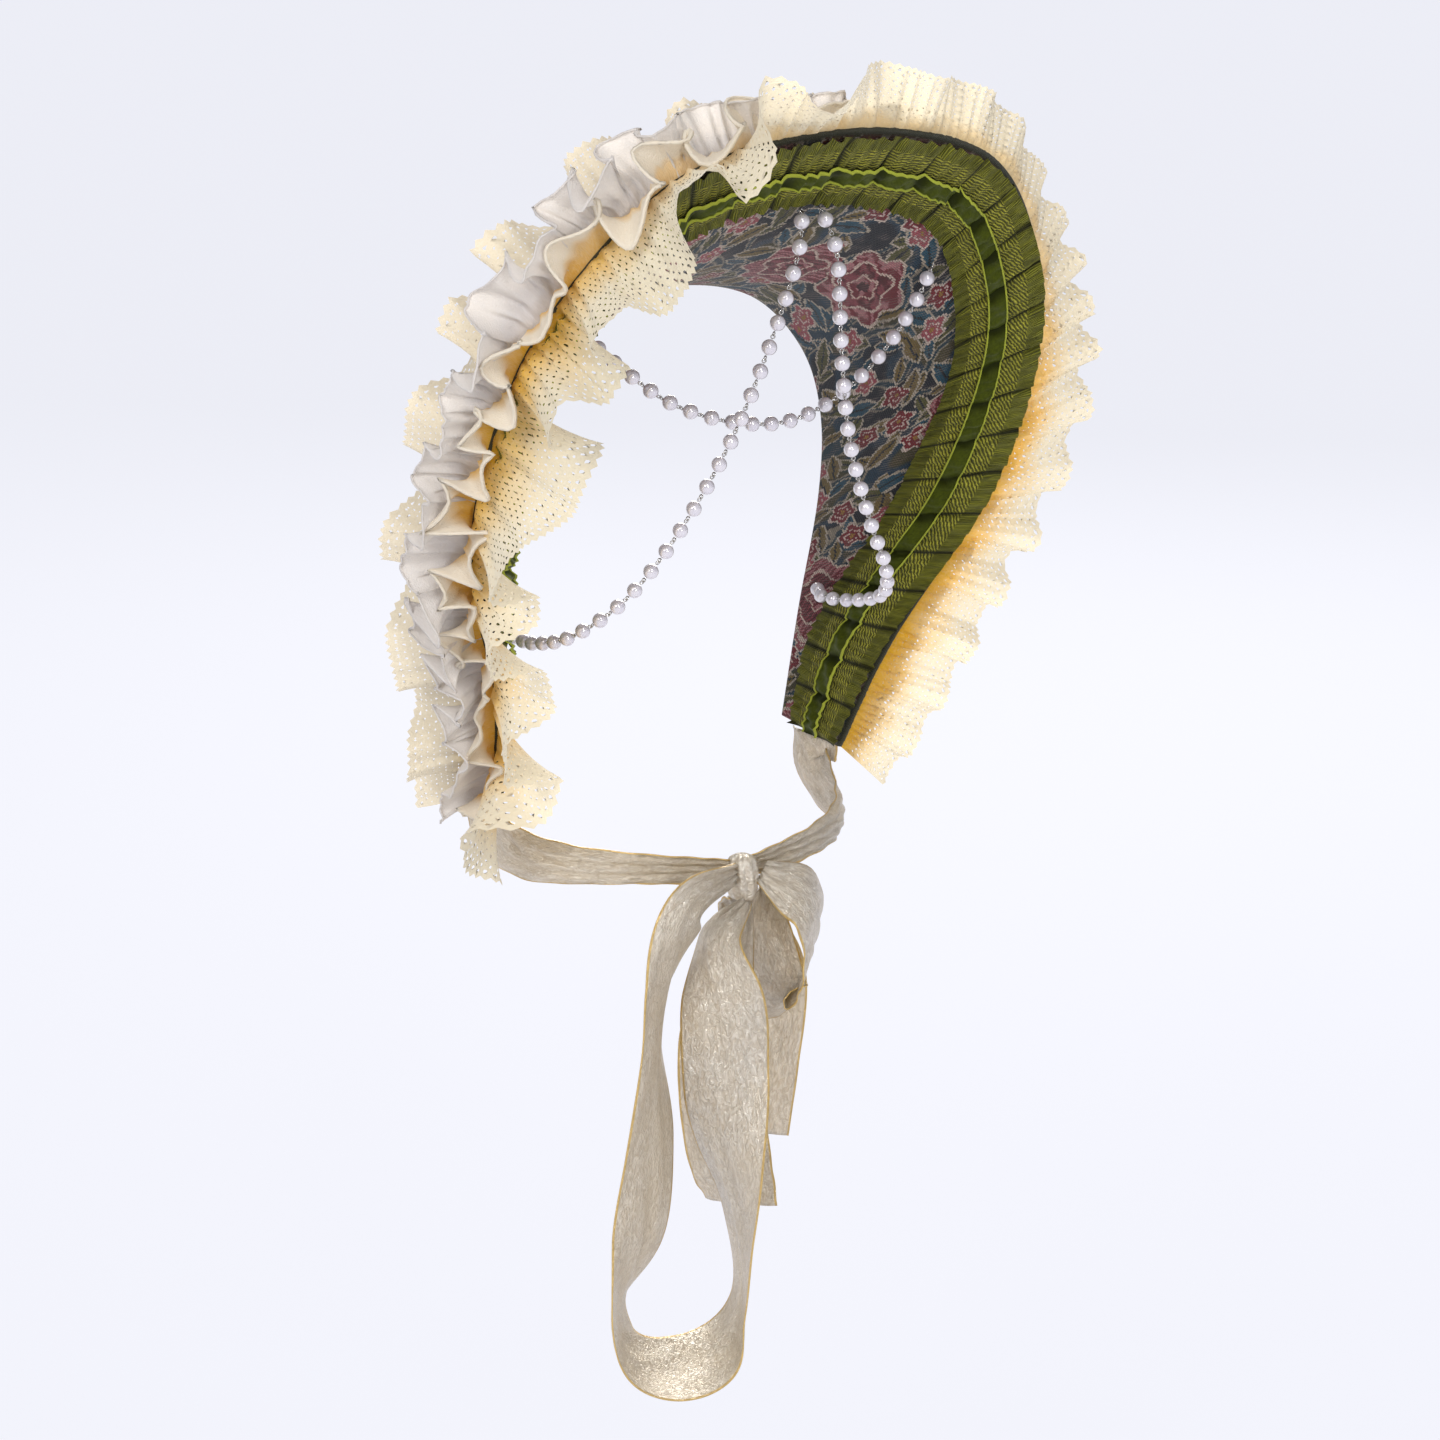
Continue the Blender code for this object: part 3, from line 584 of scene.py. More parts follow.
def velvet_place(u, v):
    """The ribbon on the trim's middle line."""
    side = 2 * v - 1
    cord = np.clip((np.abs(side) - CORD_START) / (1 - CORD_START), 0, 1)
    dimple = DIMPLE * np.sin(2 * math.pi * PLEATS * 1.7 * u + 2.5 * side + 2 * np.sin(23 * u))
    puff = PUFF * np.abs(np.sin(math.pi * PLEATS * u))
    lift = trim_height(u, 0.5 + 0 * v) + VELVET_CLEAR + puff + (dimple + 0.7 * puff) * (1 - side**2)
    lift = lift + 2.2 * CORD_RADIUS * np.sin(math.pi * cord)
    return on_brim(u, band_width(u) / 2 + side * VELVET_WIDTH / 2, -lift)


velvet = cloth_piece("velvet_ribbon_strip", "velvet_ribbon",
                     flat_cut(*VELVET_CELLS, BRIM_LENGTH, VELVET_WIDTH), velvet_place, BRIM_LENGTH,
                     VELVET_WIDTH)
# the painted shade next to each pleat's fold: 0 at the fold, 1 across the panel
panel = grid_shares(*VELVET_CELLS) * PLEATS % 1
shade_attribute(velvet, "fold", np.clip(panel / 0.30, 0, 1) * np.clip((1 - panel) / 0.20, 0, 1))

# cut rayon pile: it shines softly in its own green where it turns to the light, and is painted dark next to
# the folds for the shade there
velvet_pile, tree, shader = new_material("rayon_velvet_ribbon", {
    "Roughness": 0.45,
    "Specular IOR Level": 0.35,
    "Specular Tint": srgb("#c3d070"),
    "Sheen Weight": 0.12,
    "Sheen Tint": srgb("#93a63c"),
})
cloth_uv, off_middle = cloth_places(tree, VELVET_WIDTH)
corded = between(tree, 0.40 * VELVET_WIDTH, 0.43 * VELVET_WIDTH, off_middle)
pile = add(tree, "TexNoise", {"Vector": cloth_uv, "Scale": 900.0, "Detail": 2.0}).outputs["Fac"]
fold = add(tree, "Attribute", attribute_name="fold").outputs["Fac"]
moss = layered(tree, srgb("#1f2408"), (pile, srgb("#464e0e")))
# painted shade: near black next to the folds
moss = layered(tree, srgb("#0e1203"), (between(tree, 0.0, 0.9, fold), moss), (corded, srgb("#a0a63c")))
feed(tree, shader, {"Base Color": moss})
velvet.data.materials.append(velvet_pile)


# Front lace: cotton torchon lace, 41 mm deep, gathered on the rim. It is cut through in rows of
# eyelets and slits and ends in a row of small points. On the wearer's right it stands out over the
# lining, and on the left it lies back.
LEAN_ROWS = [  # degrees from the brim's flare, for the four rows from front to back, and their reach
    (-24, -48, -76, -112, 0.95), (46, 10, -34, -100, 1.00), (84, 34, -20, -100, 1.00),
    (70, 22, -32, -112, 1.00), (-14, -44, -76, -122, 0.66), (-68, -90, -114, -142, 0.54),
    (-40, -66, -92, -124, 1.02), (-42, -68, -94, -116, 0.98), (-66, -86, -104, -120, 0.72),
]
SEAM_STEP, SEAM_CLEAR = 0.0037, 0.0020  # between neighbouring seams, and from the rim to the first
SEWN = 0.10  # share of the depth in which a row leaves the rim for its own seam
GATHER_WAVE = 0.0009  # what is left of the folds at the seam
FOLD_DRIFT, END_FOLD, END_SHARE = 1.1, 2.8, 0.05  # radians along the rim, and at the right tip
DEPTH_DRIFT = 0.07
TIP_SPLAY, TIP_SHARE = 0.60, 14  # each end fans out over one part in 14 of the rim
CROWN, CROWN_BLEND = 0.52, 0.02  # the folds are closer past this share of the rim
STRETCHED, STRETCH_ENDS = 0.36, (0.47, 0.60)  # and that much shallower
Ruffle = namedtuple("Ruffle", "number depth folds crowding wave bulge curl crimp ripple")


def fold_phase(u, folds, crowding):
    """The phase of the gathers in radians; it always grows, and on the wearer's left that much faster."""
    past_crown = u - CROWN
    crowded = (past_crown + np.sqrt(past_crown**2 + CROWN_BLEND**2)) / 2
    return (
        2 * math.pi * folds * (u + crowding * crowded)
        + FOLD_DRIFT * np.sin(2 * math.pi * 3.1 * u + 0.7 * folds)
        + 0.7 * FOLD_DRIFT * np.sin(2 * math.pi * 7.3 * u + 0.3 * folds)
        + END_FOLD * np.exp(-u / END_SHARE)
    )


def ruffle_place(kind, u, v):
    """Points of a gathered row, at v from its seam to its free edge. Its folds bulge into loops, and are
    shallower on the wearer's left, where the row is stretched round the brim."""
    leans = smooth_rows(LEAN_ROWS, u * (len(LEAN_ROWS) - 1))
    past, height = np.full(len(u), SEAM_CLEAR), np.full(len(u), -BRIM_THICK / 2)
    for row in range(kind.number):
        turn = np.radians((leans[:, row] + leans[:, row + 1]) / 2 - 90)
        past = past + SEAM_STEP * np.cos(turn)
        height = height - SEAM_STEP * np.sin(turn)
        height = np.where(past < SEAM_CLEAR, np.maximum(height, SEAM_CLEAR), height)
    seam = on_brim(u, -past, BRIM_THICK + height)
    step = 0.002
    near = np.clip(u, step, 1 - step)
    rim = [on_brim(near + side * step, np.zeros(len(u)), np.zeros(len(u))) for side in (-1, 0, 1)]
    tangent = units(rim[2] - rim[0])
    into = on_brim(near, np.full(len(u), step), np.zeros(len(u)))
    flare = rim[1] - into
    flare = units(flare - np.sum(flare * tangent, axis=1)[:, None] * tangent)
    inward = units(np.cross(tangent, flare))
    outward = on_brim(near, np.zeros(len(u)), np.full(len(u), step)) - rim[1]
    inward = inward * -np.sign(np.sum(inward * outward, axis=1))[:, None]
    reach = leans[:, -1]
    phase = fold_phase(u, kind.folds, kind.crowding)
    open_fold = np.interp(u, STRETCH_ENDS, (1, STRETCHED))
    lean = np.radians(leans[:, kind.number] + open_fold * kind.curl * v**2 * np.cos(phase))
    rise = np.cos(lean)[:, None] * flare + np.sin(lean)[:, None] * inward
    side = np.cos(lean)[:, None] * inward - np.sin(lean)[:, None] * flare
    ends = np.maximum(0, 1 - (1 - u) * TIP_SHARE) ** 2 - np.maximum(0, 1 - u * TIP_SHARE) ** 2
    rise = units(rise + TIP_SPLAY * ends[:, None] * tangent)
    depth = kind.depth * (1 + DEPTH_DRIFT * np.sin(2 * math.pi * 5.3 * u + kind.number)) * reach
    uneven = (0.15 + 0.45 * kind.ripple) * np.sin(2 * math.pi * 4.7 * u + 2 * kind.number)
    uneven = uneven + 0.5 * kind.ripple * np.sin(2 * math.pi * 12.1 * u + 5 * kind.number)
    swing = (1 + uneven) * reach * open_fold
    wave = GATHER_WAVE + (kind.wave * swing - GATHER_WAVE) * np.maximum(v, 0) ** 0.8
    ripple = kind.ripple * np.sin(2.3 * phase + 4 * u * kind.folds) * v
    crimp = np.sin(6.3 * phase + 2 * np.sin(0.37 * phase))
    crimp = crimp + 0.6 * np.sin(10.7 * phase + 1.3 * np.sin(0.61 * phase))
    gathers = kind.crimp * crimp * (1 - 0.70 * np.clip(v, 0, 1)) * np.clip(12 * v, 0, 1)
    out = wave * (np.cos(phase) + ripple) + gathers
    slide = kind.bulge * wave * np.sin(2 * phase) * v
    root = on_brim(u, np.full(len(u), SEAM_LINE), np.full(len(u), BRIM_THICK / 2))
    sewn = np.clip(v / SEWN, 0, 1)[:, None]
    sewn = sewn * sewn * (3 - 2 * sewn)
    start = sewn * seam + (1 - sewn) * root
    return start + (v * depth)[:, None] * rise + (sewn[:, 0] * out)[:, None] * side + slide[:, None] * tangent


# Cutting: the flat lace is a grid with a corner at each hole. The corner is bevelled to an eyelet,
# some are drawn out to slits, and the edge is pulled to points.
LACE_FULLNESS = 1.5  # flat length of the lace for each metre of rim
LACE_CELL = 0.00185
EYELET_START, EYELET_FOUND = 0.3, 0.15  # shares of a cell
POINT_OUT, POINT_IN = 0.0013, -0.0005


def cut_lace(depth, length, holes):
    """The flat lace. holes gives for each row of corners, from the seam, the hole's half width and
    half height in metres, and whether the row is shifted by half a repeat; None has no holes."""
    columns = int(round(length / LACE_CELL / 2)) * 2
    rows = len(holes)
    shape = flat_cut(columns, rows, length, depth)
    cell = Vector((length / columns, depth / rows))
    pierced, sizes = [], {}
    for corner in shape.verts:
        i, j = round(corner.co.x / cell.x), round(corner.co.y / cell.y)
        if j == rows:
            corner.co.y += POINT_OUT if i % 2 else POINT_IN
        elif 0 < j and 0 < i < columns and holes[j] and (i + holes[j][2]) % 2:
            pierced.append(corner)
            sizes[(i, j)] = holes[j]
    made = bmesh.ops.bevel(shape, geom=pierced, offset=EYELET_START * cell.x, offset_type="OFFSET",
                           segments=2, profile=0.5, affect="VERTICES", material=-1)
    gone = []
    for face in made["faces"]:
        middle = face.calc_center_median()
        i, j = round(middle.x / cell.x), round(middle.y / cell.y)
        at = Vector((i * cell.x, j * cell.y, 0))
        if (i, j) not in sizes or (middle - at).length > EYELET_FOUND * cell.x:
            continue
        for corner in face.verts:
            way = (corner.co - at).normalized()
            corner.co = at + Vector((way.x * sizes[(i, j)][0], way.y * sizes[(i, j)][1], 0))
        gone.append(face)
    bmesh.ops.delete(shape, geom=gone, context="FACES")
    return shape


FRONT = Ruffle(0, 0.041, 16, 1.03, 0.0082, 0.50, 10, 0.0012, 0.26)
SLIT, TINY = (0.00055, 0.00110, 1), (0.00050, 0.00055, 0)
FRONT_HOLES = [None, None, TINY, (0.0004, 0.0008, 1), TINY, SLIT, TINY, (0.0004, 0.0009, 1), TINY,
               (0.0005, 0.0012, 1), TINY, SLIT, TINY, SLIT, (0.0009, 0.0011, 0)]
LACE_LENGTH = BRIM_LENGTH * LACE_FULLNESS
front_flat = cut_lace(FRONT.depth, LACE_LENGTH, FRONT_HOLES)
lace_front = cloth_piece("cotton_lace_front", "lace_front", front_flat,
                         lambda u, v: ruffle_place(FRONT, u, v), LACE_LENGTH, FRONT.depth)


# the lace is painted paler between these shares of its length, a painted highlight along the top where the
# light falls
TOP_START, TOP_END, TOP_HIGHLIGHT = (0.30, 0.46), (0.80, 0.62), 0.55  # shares of the length
LACE_THREAD, LAWN_THREAD = 0.0010, 0.0006  # coarser than real ones, so that they show


def let_through(tree, shader, share, colour):
    """Thin cloth: this share of the light comes through from behind, in a colour of its own."""
    through = add(tree, "BsdfTranslucent", {"Color": colour})
    both = add(tree, "MixShader", {0: share, 1: shader, 2: through})
    feed(tree, tree.nodes["Material Output"], {"Surface": both})


def cotton(name, edge_colour, seam_shade_colour, depth, length, thread, edge_start=0.66, glow=0.3):
    """Gathered cotton, with painted shade that makes it warmer and deeper in colour towards the seam and a
    painted highlight that makes it paler along the top; with raised threads and light that comes through from
    behind."""
    material, tree, shader = new_material(name, {"Roughness": 0.8, "Sheen Weight": 0.2})
    flat_places = add(tree, "UVMap", uv_map="cloth").outputs["UV"]
    axes = add(tree, "SeparateXYZ", {0: flat_places})
    mottle = add(tree, "TexNoise", {"Vector": flat_places, "Scale": 55.0, "Detail": 3.0})
    spread = add(tree, "Math", {0: mottle.outputs["Fac"], 1: 0.5 * depth, 2: axes.outputs["Y"]},
                 operation="MULTIPLY_ADD")
    # painted shade: the cloth is painted deeper and warmer towards its seam, where the gathers shade it
    share = between(tree, 0.15 * depth, (edge_start + 0.35) * depth, spread)
    # painted highlight: paler along the top, where the light falls
    start, end = (
        between(tree, low * length, high * length, axes.outputs["X"]) for low, high in (TOP_START, TOP_END)
    )
    top = add(tree, "Math", {0: start, 1: end}, operation="MULTIPLY")
    share = add(tree, "Math", {0: top, 1: TOP_HIGHLIGHT, 2: share}, operation="MULTIPLY_ADD", use_clamp=True)
    colour = layered(tree, srgb(seam_shade_colour), (share, srgb(edge_colour)))
    loops = add(tree, "TexVoronoi", {"Vector": flat_places, "Scale": 1 / thread}, feature="SMOOTH_F1",
                voronoi_dimensions="2D").outputs["Distance"]
    dark = add(tree, "Mix", {0: 0.22, 6: colour, 7: loops}, data_type="RGBA", blend_type="BURN")
    relief = add(tree, "Bump", {"Height": loops, "Strength": 0.7, "Distance": 0.0004}, invert=True)
    feed(tree, shader, {"Base Color": dark.outputs[2], "Normal": relief})
    let_through(tree, shader, glow, colour)
    return material


lace_front.data.materials.append(
    cotton("cotton_torchon_lace", "#f4ead2", "#efc264", FRONT.depth, LACE_LENGTH, LACE_THREAD, glow=0.42)
)


# Heading frill: plain cream cotton, 14 mm deep, gathered tightly behind the lace, with a thick
# rolled edge in white thread.
HEADING = Ruffle(1, 0.014, 21, 0.55, 0.0085, 0.75, 0, 0.0008, 0.55)
HEADING_WIDTH, HEADING_LENGTH, HEADING_ROLL = 0.019, BRIM_LENGTH * 1.4, 0.0009
ROLL_START, ROLL_TURN = 0.86, 1.7 * math.pi


def rolled_place(kind, radius, u, v, scallops=0.0, scallop_width=0.0045):
    """A ruffle whose free edge is rolled over to a cord of that radius, straight or in shallow scallops."""
    flat = np.clip(v / ROLL_START, 0, 1)
    flat = flat + scallops * (np.abs(np.sin(math.pi * u * BRIM_LENGTH / scallop_width)) - 0.6) * flat**6
    flat = flat * (1 - radius / kind.depth)
    angle = np.clip((v - ROLL_START) / (1 - ROLL_START), 0, 1) * ROLL_TURN
    base = ruffle_place(kind, u, flat)
    along = ruffle_place(kind, np.clip(u + 0.0004, 0, 1), flat)
    rise = units(ruffle_place(kind, u, flat + 0.02) - base)
    side = units(np.cross(along - base + 1e-9, rise))
    return base + radius * (np.sin(angle)[:, None] * rise + (1 - np.cos(angle))[:, None] * side)


heading_flat = flat_cut(HEADING.folds * 32, 18, HEADING_LENGTH, HEADING_WIDTH)
heading = cloth_piece("cotton_heading_frill", "heading_frill", heading_flat,
                      lambda u, v: rolled_place(HEADING, HEADING_ROLL, u, v), HEADING_LENGTH, HEADING_WIDTH)
heading.data.materials.append(
    cotton("cotton_lawn_cream", "#f1e9da", "#ecc06c", HEADING.depth, HEADING_LENGTH, LAWN_THREAD)
)


# Back ruffle: plain white cotton, 19 mm deep, crumpled, and gathered behind the frill; its grey cast is
# painted shade, greyer towards the seam.
# Its edge is overlocked in shallow scallops.
BACK = Ruffle(2, 0.019, 24, 0.45, 0.0068, 0.80, 8, 0.0024, 0.60)
BACK_WIDTH, RUFFLE_LENGTH, BACK_ROLL, SCALLOPS = 0.023, BRIM_LENGTH * 1.6, 0.0006, 0.045
back_flat = flat_cut(BACK.folds * 40, 22, RUFFLE_LENGTH, BACK_WIDTH)
back_ruffle = cloth_piece("cotton_back_ruffle", "back_ruffle", back_flat,
                          lambda u, v: rolled_place(BACK, BACK_ROLL, u, v, SCALLOPS), RUFFLE_LENGTH,
                          BACK_WIDTH)
back_ruffle.data.materials.append(
    cotton("cotton_lawn_white", "#ebe6e1", "#dddbdd", BACK.depth, RUFFLE_LENGTH, LAWN_THREAD, edge_start=0.72)
)


# Back lace: the same cotton lace, 33 mm deep, with a closer net of holes. It is the last row on the rim
# and shows past the ruffle.
REAR = Ruffle(3, 0.033, 18, 0.80, 0.0058, 0.45, 10, 0.0012, 0.26)
REAR_HOLES = [None, None] + 3 * [TINY, (0.0006, 0.0007, 1)] + [TINY, (0.0006, 0.0008, 1), (0.0009, 0.0010, 0)]
rear_flat = cut_lace(REAR.depth, LACE_LENGTH, REAR_HOLES)
lace_back = cloth_piece("cotton_lace_back", "lace_back", rear_flat,
                        lambda u, v: ruffle_place(REAR, u, v), LACE_LENGTH, REAR.depth)
lace_back.data.materials.append(
    cotton("cotton_net_lace", "#e9dfca", "#d8bb7c", REAR.depth, LACE_LENGTH, LACE_THREAD, 0.3, 0.35)
)


# Strings of pearls: 6.5 mm imitation pearls on silver-plated wire, with an eye loop between each two.
BEAD = 0.0065
BEAD_PITCH = 0.0107
EYE_RADIUS, EYE_STEP = 0.00085, 0.75  # two eyes hang in each other, so many radii off their middle
WIRE_RADIUS = 0.00028
ANCHOR_LIFT = -0.0009  # a string's ends lie on the lining
SWAG_ANCHORS = ((0.340, 0.045), (0.620, 0.049))
STRAND_ANCHORS = ((0.495, 0.0435), (0.100, 0.056))
SWAG_POINTS = [
    (-0.0710, -0.0820, -0.0150), (-0.0455, -0.0810, -0.0335), (-0.0157, -0.0792, -0.0444),
    (0.0153, -0.0730, -0.0477), (0.0448, -0.0662, -0.0397), (0.0620, -0.0720, -0.0215),
    (0.0680, -0.0860, 0.0000),
]
STRAND_POINTS = [
    (-0.0090, -0.1200, 0.0290), (-0.0178, -0.1098, -0.0125), (-0.0296, -0.0974, -0.0529),
    (-0.0475, -0.0847, -0.0909), (-0.0637, -0.0722, -0.1165), (-0.0760, -0.0500, -0.1345),
    (-0.0785, -0.0210, -0.1440), (-0.0775, 0.0050, -0.1475),
]

# glass beads dipped in pearl essence: a clear, glossy coat over a pale pink and grey lustre
pearl, tree, shader = new_material("imitation_pearl", {
    "Metallic": 0.25,
    "Roughness": 0.22,
    "Coat Weight": 1.0,
    "Coat Roughness": 0.05,
    "Coat IOR": 1.9,
    "Sheen Weight": 0.10,
    "Sheen Tint": srgb("#f6dfe6"),
})
bead_place = add(tree, "TexCoord").outputs["Object"]
swirl = add(tree, "TexNoise", {"Vector": bead_place, "Scale": 260.0, "Detail": 2.0}).outputs["Fac"]
feed(tree, shader, {"Base Color": layered(tree, srgb("#ece7e9"), (swirl, srgb("#d3ceda")))})

# drawn wire with a thin plating: bright, with a little tarnish
silver = new_material("silver_plated_wire", {
    "Base Color": srgb("#c9c6c2"),
    "Metallic": 1.0,
    "Roughness": 0.25,
})[0]


def ring_shape(shape, place):
    """An eye of wire: a small circle spun once round."""
    circle = bmesh.ops.create_circle(shape, segments=6, radius=WIRE_RADIUS, cap_ends=False)["verts"]
    bmesh.ops.rotate(shape, verts=circle, cent=(0, 0, 0), matrix=Matrix.Rotation(math.pi / 2, 3, "X"))
    bmesh.ops.translate(shape, verts=circle, vec=(EYE_RADIUS, 0, 0))
    edges = list({edge for corner in circle for edge in corner.link_edges})
    bmesh.ops.spin(shape, geom=circle + edges, cent=(0, 0, 0), axis=(0, 0, 1), angle=2 * math.pi, steps=14,
                   use_merge=True, use_duplicate=False)
    for corner in shape.verts:
        if not corner.tag:
            corner.co = place @ corner.co
            corner.tag = True


def string_of_pearls(name, node, anchors, points, mirror=1):
    """Pearls and wire along one line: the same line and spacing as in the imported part."""
    shares, downs = np.array(anchors).T
    start, end = on_brim(shares, downs, np.full(2, ANCHOR_LIFT))
    rows = np.array([start, *points, end]) * (mirror, 1, 1)
    line = smooth_rows(rows, np.linspace(0, len(rows) - 1, 500))
    run = run_along(line)
    beads = int(run[-1] / BEAD_PITCH - 0.15)
    first = (run[-1] - (beads - 1) * BEAD_PITCH) / 2

    def frame_at(distance):
        """The turn and place of a piece threaded at that distance along the line."""
        at, ahead, behind = (
            Vector([float(np.interp(distance + step, run, line[:, k])) for k in range(3)])
            for step in (0, 1e-3, -1e-3)
        )
        turn = (ahead - behind).normalized().to_track_quat("Z", "Y")
        return Matrix.Translation(at) @ turn.to_matrix().to_4x4()

    shape = bmesh.new()
    for bead in range(beads):
        bmesh.ops.create_uvsphere(shape, u_segments=20, v_segments=12, radius=BEAD / 2,
                                  matrix=frame_at(first + bead * BEAD_PITCH))
    piece = new_object(name, shape, pearl)
    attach(piece, "root")
    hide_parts(node)

    shape = bmesh.new()
    middles = [first + (gap - 0.5) * BEAD_PITCH for gap in range(1, beads)]
    for middle in [first / 2, *middles, run[-1] - first / 2]:
        for side in (-1, 1):
            turn = Matrix.Rotation(math.radians(45 * side), 4, "Z") @ Matrix.Rotation(math.pi / 2, 4, "X")
            ring_shape(shape, frame_at(middle + side * EYE_STEP * EYE_RADIUS) @ turn)
    end_run = first - BEAD / 2
    for start in (0, run[-1] - end_run):
        for third in range(3):
            rod = frame_at(start + (third + 0.5) * end_run / 3)
            made = bmesh.ops.create_cone(shape, cap_ends=True, segments=6, radius1=WIRE_RADIUS,
                                         radius2=WIRE_RADIUS, depth=end_run / 3, matrix=rod)
            for corner in made["verts"]:
                corner.tag = True
    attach(new_object(name + "_wire", shape, silver), "root")


string_of_pearls("pearls_swag", "pearl_swag", SWAG_ANCHORS, SWAG_POINTS)
string_of_pearls("pearls_right", "pearl_strand_right", STRAND_ANCHORS, STRAND_POINTS)
string_of_pearls("pearls_left", "pearl_strand_left", STRAND_ANCHORS, STRAND_POINTS, mirror=-1)


# Ribbon: one length of 38 mm crinkled satin, ivory with gold overlocked edges. It runs from the brim's
# tips to a bow under the chin, and its cloth is drawn into pleats where the knot holds it.
MM = 0.001
RIBBON_WIDTH = 0.038
PLEAT_DEPTH, PLEAT_COUNT = 0.0013, 3.5  # where the cloth is drawn in
CUP, FLUTTER = 0.0030, 0.0005
SATIN_THICK = 0.0006
RIBBON_CELL, CELLS_ACROSS = 0.0022, 24
RIBBONS = {  # rows of x, y and z in millimetres, turn in degrees and width in millimetres
    "bow_loop_long": [
        (-5.4, -63, -246.5, -10, 10), (-37, -79, -252, -15, 27), (-50, -77.5, -283, -42, 38),
        (-53, -74, -318, -50, 38), (-54, -74.5, -360, -28, 38), (-60, -75.5, -400, -25, 38),
        (-70, -76, -432, -52, 38), (-64, -76, -456, -60, 38), (-46, -76, -467, -66, 38),
        (-24, -76, -465, -80, 38), (-11, -76.5, -444, -112, 38), (-12.5, -79, -405, -98, 38),
        (-18.5, -82, -366, -68, 38), (-21, -83, -330, -34, 38), (-21, -81, -295, -50, 38),
        (-19, -74, -270, -80, 26), (-2, -67.2, -260, -80, 7),
    ],
    "bow_loop_short": [
        (8.5, -62, -248, -20, 11), (25.5, -71.5, -262, -40, 36), (29, -70.5, -283, -50, 38),
        (27.2, -66, -301, -56, 38), (20.5, -63, -312, -60, 38), (15, -58.5, -302, -52, 36),
        (11.5, -52, -275, -30, 28), (8.5, -57.8, -256, -10, 8),
    ],
    "bow_tail_long": [
        (0.5, -61.5, -260.6, 10, 6), (-1.5, -59, -274.5, 20, 14), (-8, -58, -299.3, 29, 28),
        (-9, -58, -324.9, 29, 38), (-9, -58, -353.2, 29, 38), (-4.9, -58, -382.8, 40, 38),
        (1, -58, -404, 60, 38),
    ],
    "bow_tail_short": [
        (-1.5, -56.2, -259, 10, 6), (1, -45, -264, 20, 8), (9, -38.5, -274, 26, 18),
        (20.5, -37, -290, 29, 32), (25.9, -35, -312.9, 29, 38), (21.9, -35, -348.2, 29, 38),
        (16.8, -35, -381.2, 29, 38),
    ],
    "chin_ribbon_left": [
        (2.5, -58, -246.5, 0, 8), (20, -56, -245.2, 0, 12), (43, -48, -243, 0, 14),
        (66, -28, -243, 0, 18), (80, -3, -242.5, 0, 24), (86.6, 23.5, -234, 0, 30),
        (86, 24, -218, 0, 32),
    ],
}
RIBBONS["chin_ribbon_right"] = np.array(RIBBONS["chin_ribbon_left"]) * (-1, 1, 1, -1, 1)

# crinkled satin: each small fold catches the light in its glossy face, and the raised crinkles are also
# painted lighter as painted highlights; it is thin enough to glow a little
satin, tree, shader = new_material("crinkled_satin_ribbon", {
    "Roughness": 0.28,
    "Metallic": 0.35,
    "Coat Weight": 1.0,
    "Coat Roughness": 0.20,
    "Coat IOR": 1.7,
    "Sheen Weight": 0.1,
})
cloth_uv, off_middle = cloth_places(tree, RIBBON_WIDTH)
overlock = between(tree, RIBBON_WIDTH / 2 - 0.0011, RIBBON_WIDTH / 2 - 0.0007, off_middle)
crushed = add(tree, "Mapping", {"Vector": cloth_uv, "Scale": (0.6, 1.0, 1.0)})
crinkle = add(tree, "TexNoise", {"Vector": crushed, "Scale": 480.0, "Detail": 3.0, "Roughness": 0.6,
                                 "Distortion": 1.6}).outputs["Fac"]
broad = add(tree, "TexNoise", {"Vector": cloth_uv, "Scale": 70.0, "Detail": 2.0}).outputs["Fac"]
# painted highlight: lighter where the crinkle stands up
ivory = layered(tree, srgb("#dacfbd"), (between(tree, 0.38, 0.62, crinkle), srgb("#f7f1e4")))
warm = layered(tree, ivory, (0.3, srgb("#e6d8be")))
ivory = layered(tree, ivory, (between(tree, 0.35, 0.65, broad), warm), (overlock, srgb("#e8c36e")))
relief = add(tree, "Bump", {"Height": crinkle, "Strength": 1.0, "Distance": 0.0016})
feed(tree, shader, {"Base Color": ivory, "Normal": relief, "Coat Normal": relief})
let_through(tree, shader, 0.28, srgb("#f4e2bd"))


def ribbon_place(rows, neck, u, v):
    """Across and along a ribbon. Where its row is narrow, the cloth is drawn into small pleats."""
    stations = smooth_rows(rows, u * (len(rows) - 1))
    near = np.clip(u, 1e-3, 1 - 1e-3)
    ends = [smooth_rows(rows, (near + side * 1e-3) * (len(rows) - 1))[:, :3] for side in (-1, 1)]
    way = units(ends[1] - ends[0])
    middle = stations[:, :3]
    facing = np.tile(np.array([0.0, 1.0, 0.0]), (len(u), 1))
    if neck:
        facing = units(np.stack([middle[:, 0], middle[:, 1] - 0.01, np.zeros(len(u))], axis=1))
    flat = units(np.cross(way, facing))
    turn = np.radians(stations[:, 3])[:, None]
    across = np.cos(turn) * flat + np.sin(turn) * np.cross(way, flat)
    off = np.cross(way, across)
    width = stations[:, 4]
    drawn_in = np.clip(1 - width / RIBBON_WIDTH, 0, 1)
    pleats = PLEAT_DEPTH * drawn_in * np.sin(2 * math.pi * (PLEAT_COUNT * v + 0.25 * u))
    cup = CUP * np.sin(math.pi * v) * np.sin(2 * math.pi * 1.3 * u + 0.4)
    flutter = FLUTTER * np.sin(2 * math.pi * (9 * u + 0.6 * np.sin(5 * v)))
    side = (v - 0.5) * width
    return middle + side[:, None] * across + (pleats + cup + flutter)[:, None] * off


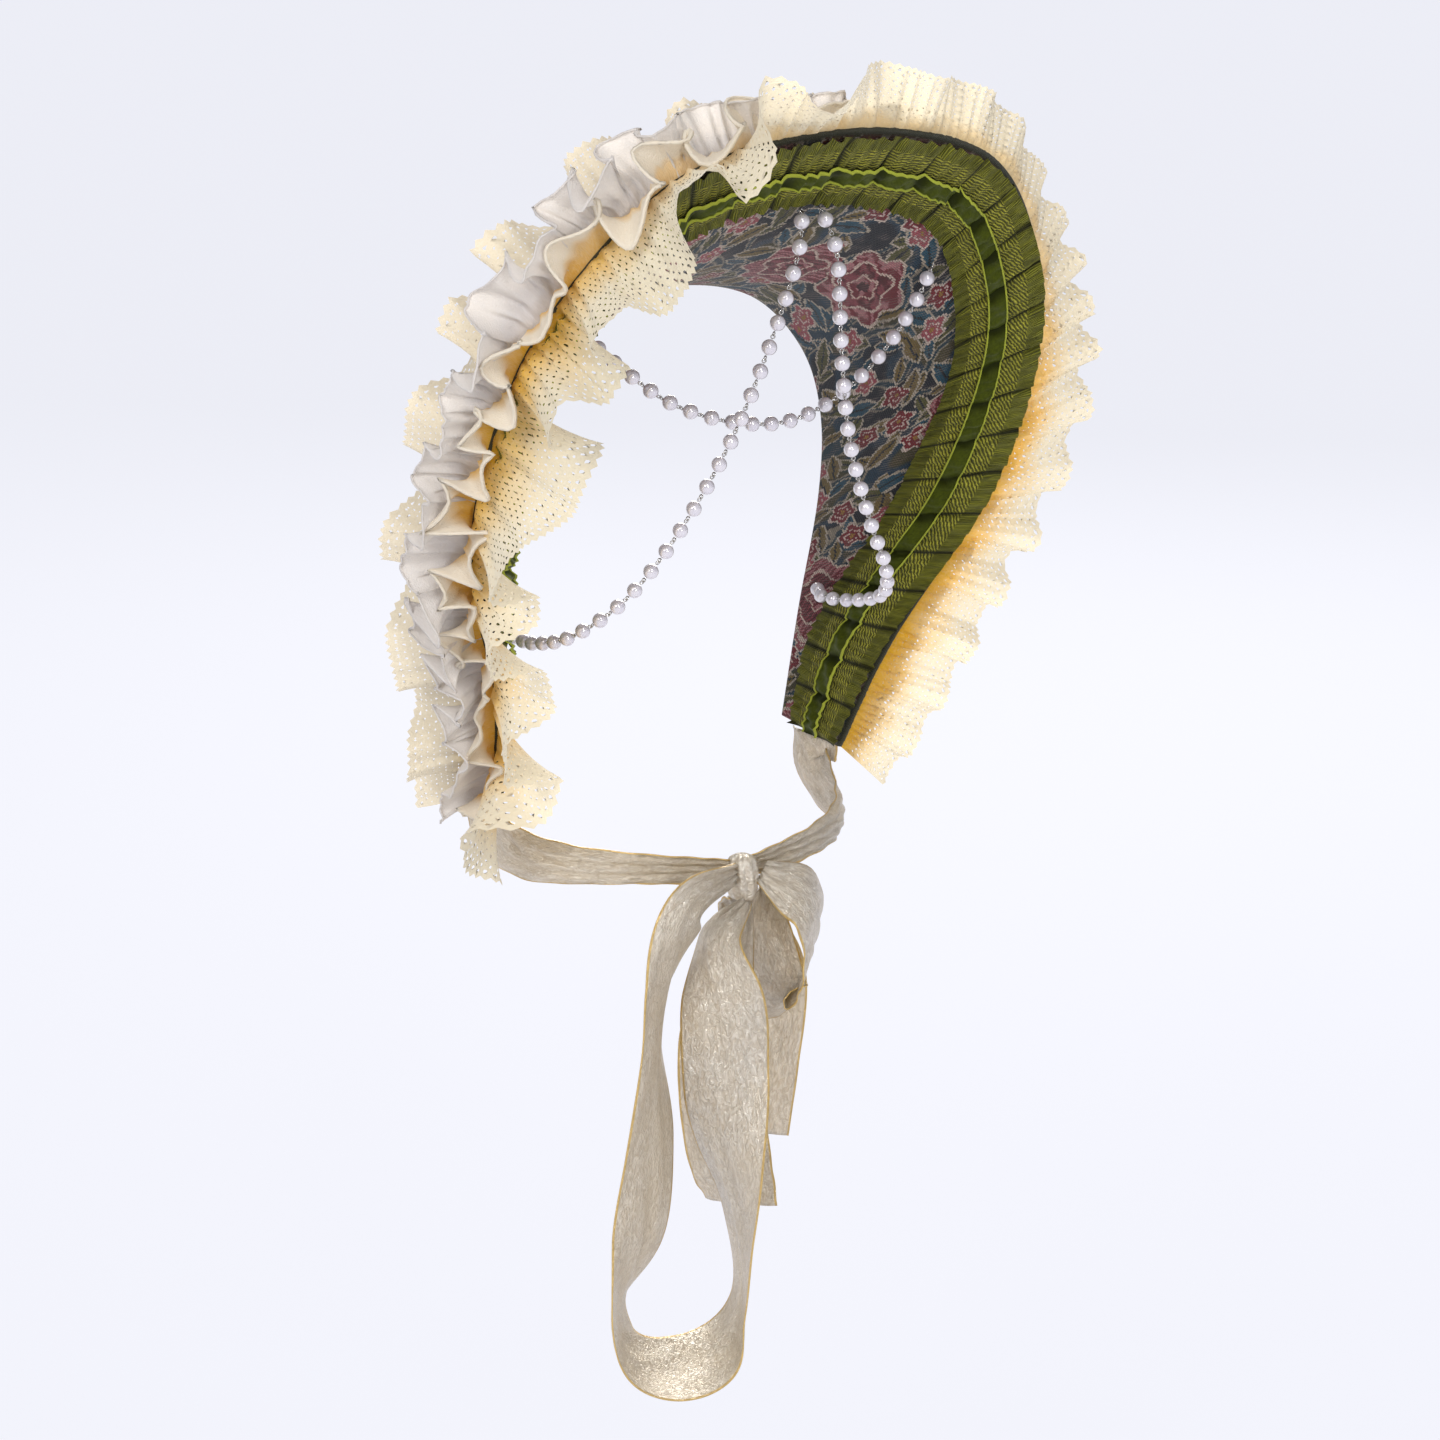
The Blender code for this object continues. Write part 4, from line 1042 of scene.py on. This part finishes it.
for name, table in RIBBONS.items():
    rows = np.array(table) * (MM, MM, MM, 1, MM)
    points = rows[:, :3]
    fine = smooth_rows(points, np.linspace(0, len(points) - 1, 200))
    length = float(run_along(fine)[-1])
    neck = name.startswith("chin")
    flat = flat_cut(max(60, int(length / RIBBON_CELL)), CELLS_ACROSS, length, RIBBON_WIDTH)
    ribbon = cloth_piece("satin_" + name, name, flat,
                         lambda u, v: ribbon_place(rows, neck, u, v), length, RIBBON_WIDTH)
    thickness = ribbon.modifiers.new("thickness", "SOLIDIFY")
    thickness.thickness = SATIN_THICK
    thickness.offset = 0
    ribbon.data.materials.append(satin)


# Knot: the same ribbon wrapped once round the bow and pulled tight, crushed into upright pleats. It
# holds the loops, the tails and both chin ribbons.
KNOT_PLACE = Vector((0.0, -0.0600, -0.2500))
KNOT_REACH = Vector((0.0062, 0.0068, 0.0108))  # half its size each way, before the pleats
KNOT_SWELL = 1.5  # at most, of the barrel towards its ends
knot_shape = bmesh.new()
bmesh.ops.create_uvsphere(knot_shape, u_segments=48, v_segments=24, radius=1.0)
for corner in knot_shape.verts:
    x, y, z = corner.co
    angle = math.atan2(y, x)
    pleat = 1 + (0.10 * math.sin(8 * angle + 2 * z) + 0.04 * math.sin(17 * angle - 3 * z)) * (1 - z**4)
    barrel = (1 - abs(z) ** 3) ** 0.18 / max(1e-3, (1 - z * z) ** 0.5) if abs(z) < 0.98 else 1
    swell = pleat * min(barrel, KNOT_SWELL)
    corner.co = KNOT_REACH * Vector((x * swell, y * swell, z))
bmesh.ops.translate(knot_shape, vec=KNOT_PLACE, verts=knot_shape.verts)
knot_layer = knot_shape.loops.layers.uv.new("cloth")
for face in knot_shape.faces:
    for corner in face.loops:
        place = corner.vert.co - KNOT_PLACE
        corner[knot_layer].uv = (math.atan2(place.y, place.x) * 0.006, 0.019 + place.z * 0.7)
knot = new_object("satin_bow_knot", knot_shape, satin)
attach(knot, "root")
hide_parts("bow_knot")

bpy.context.view_layer.update()
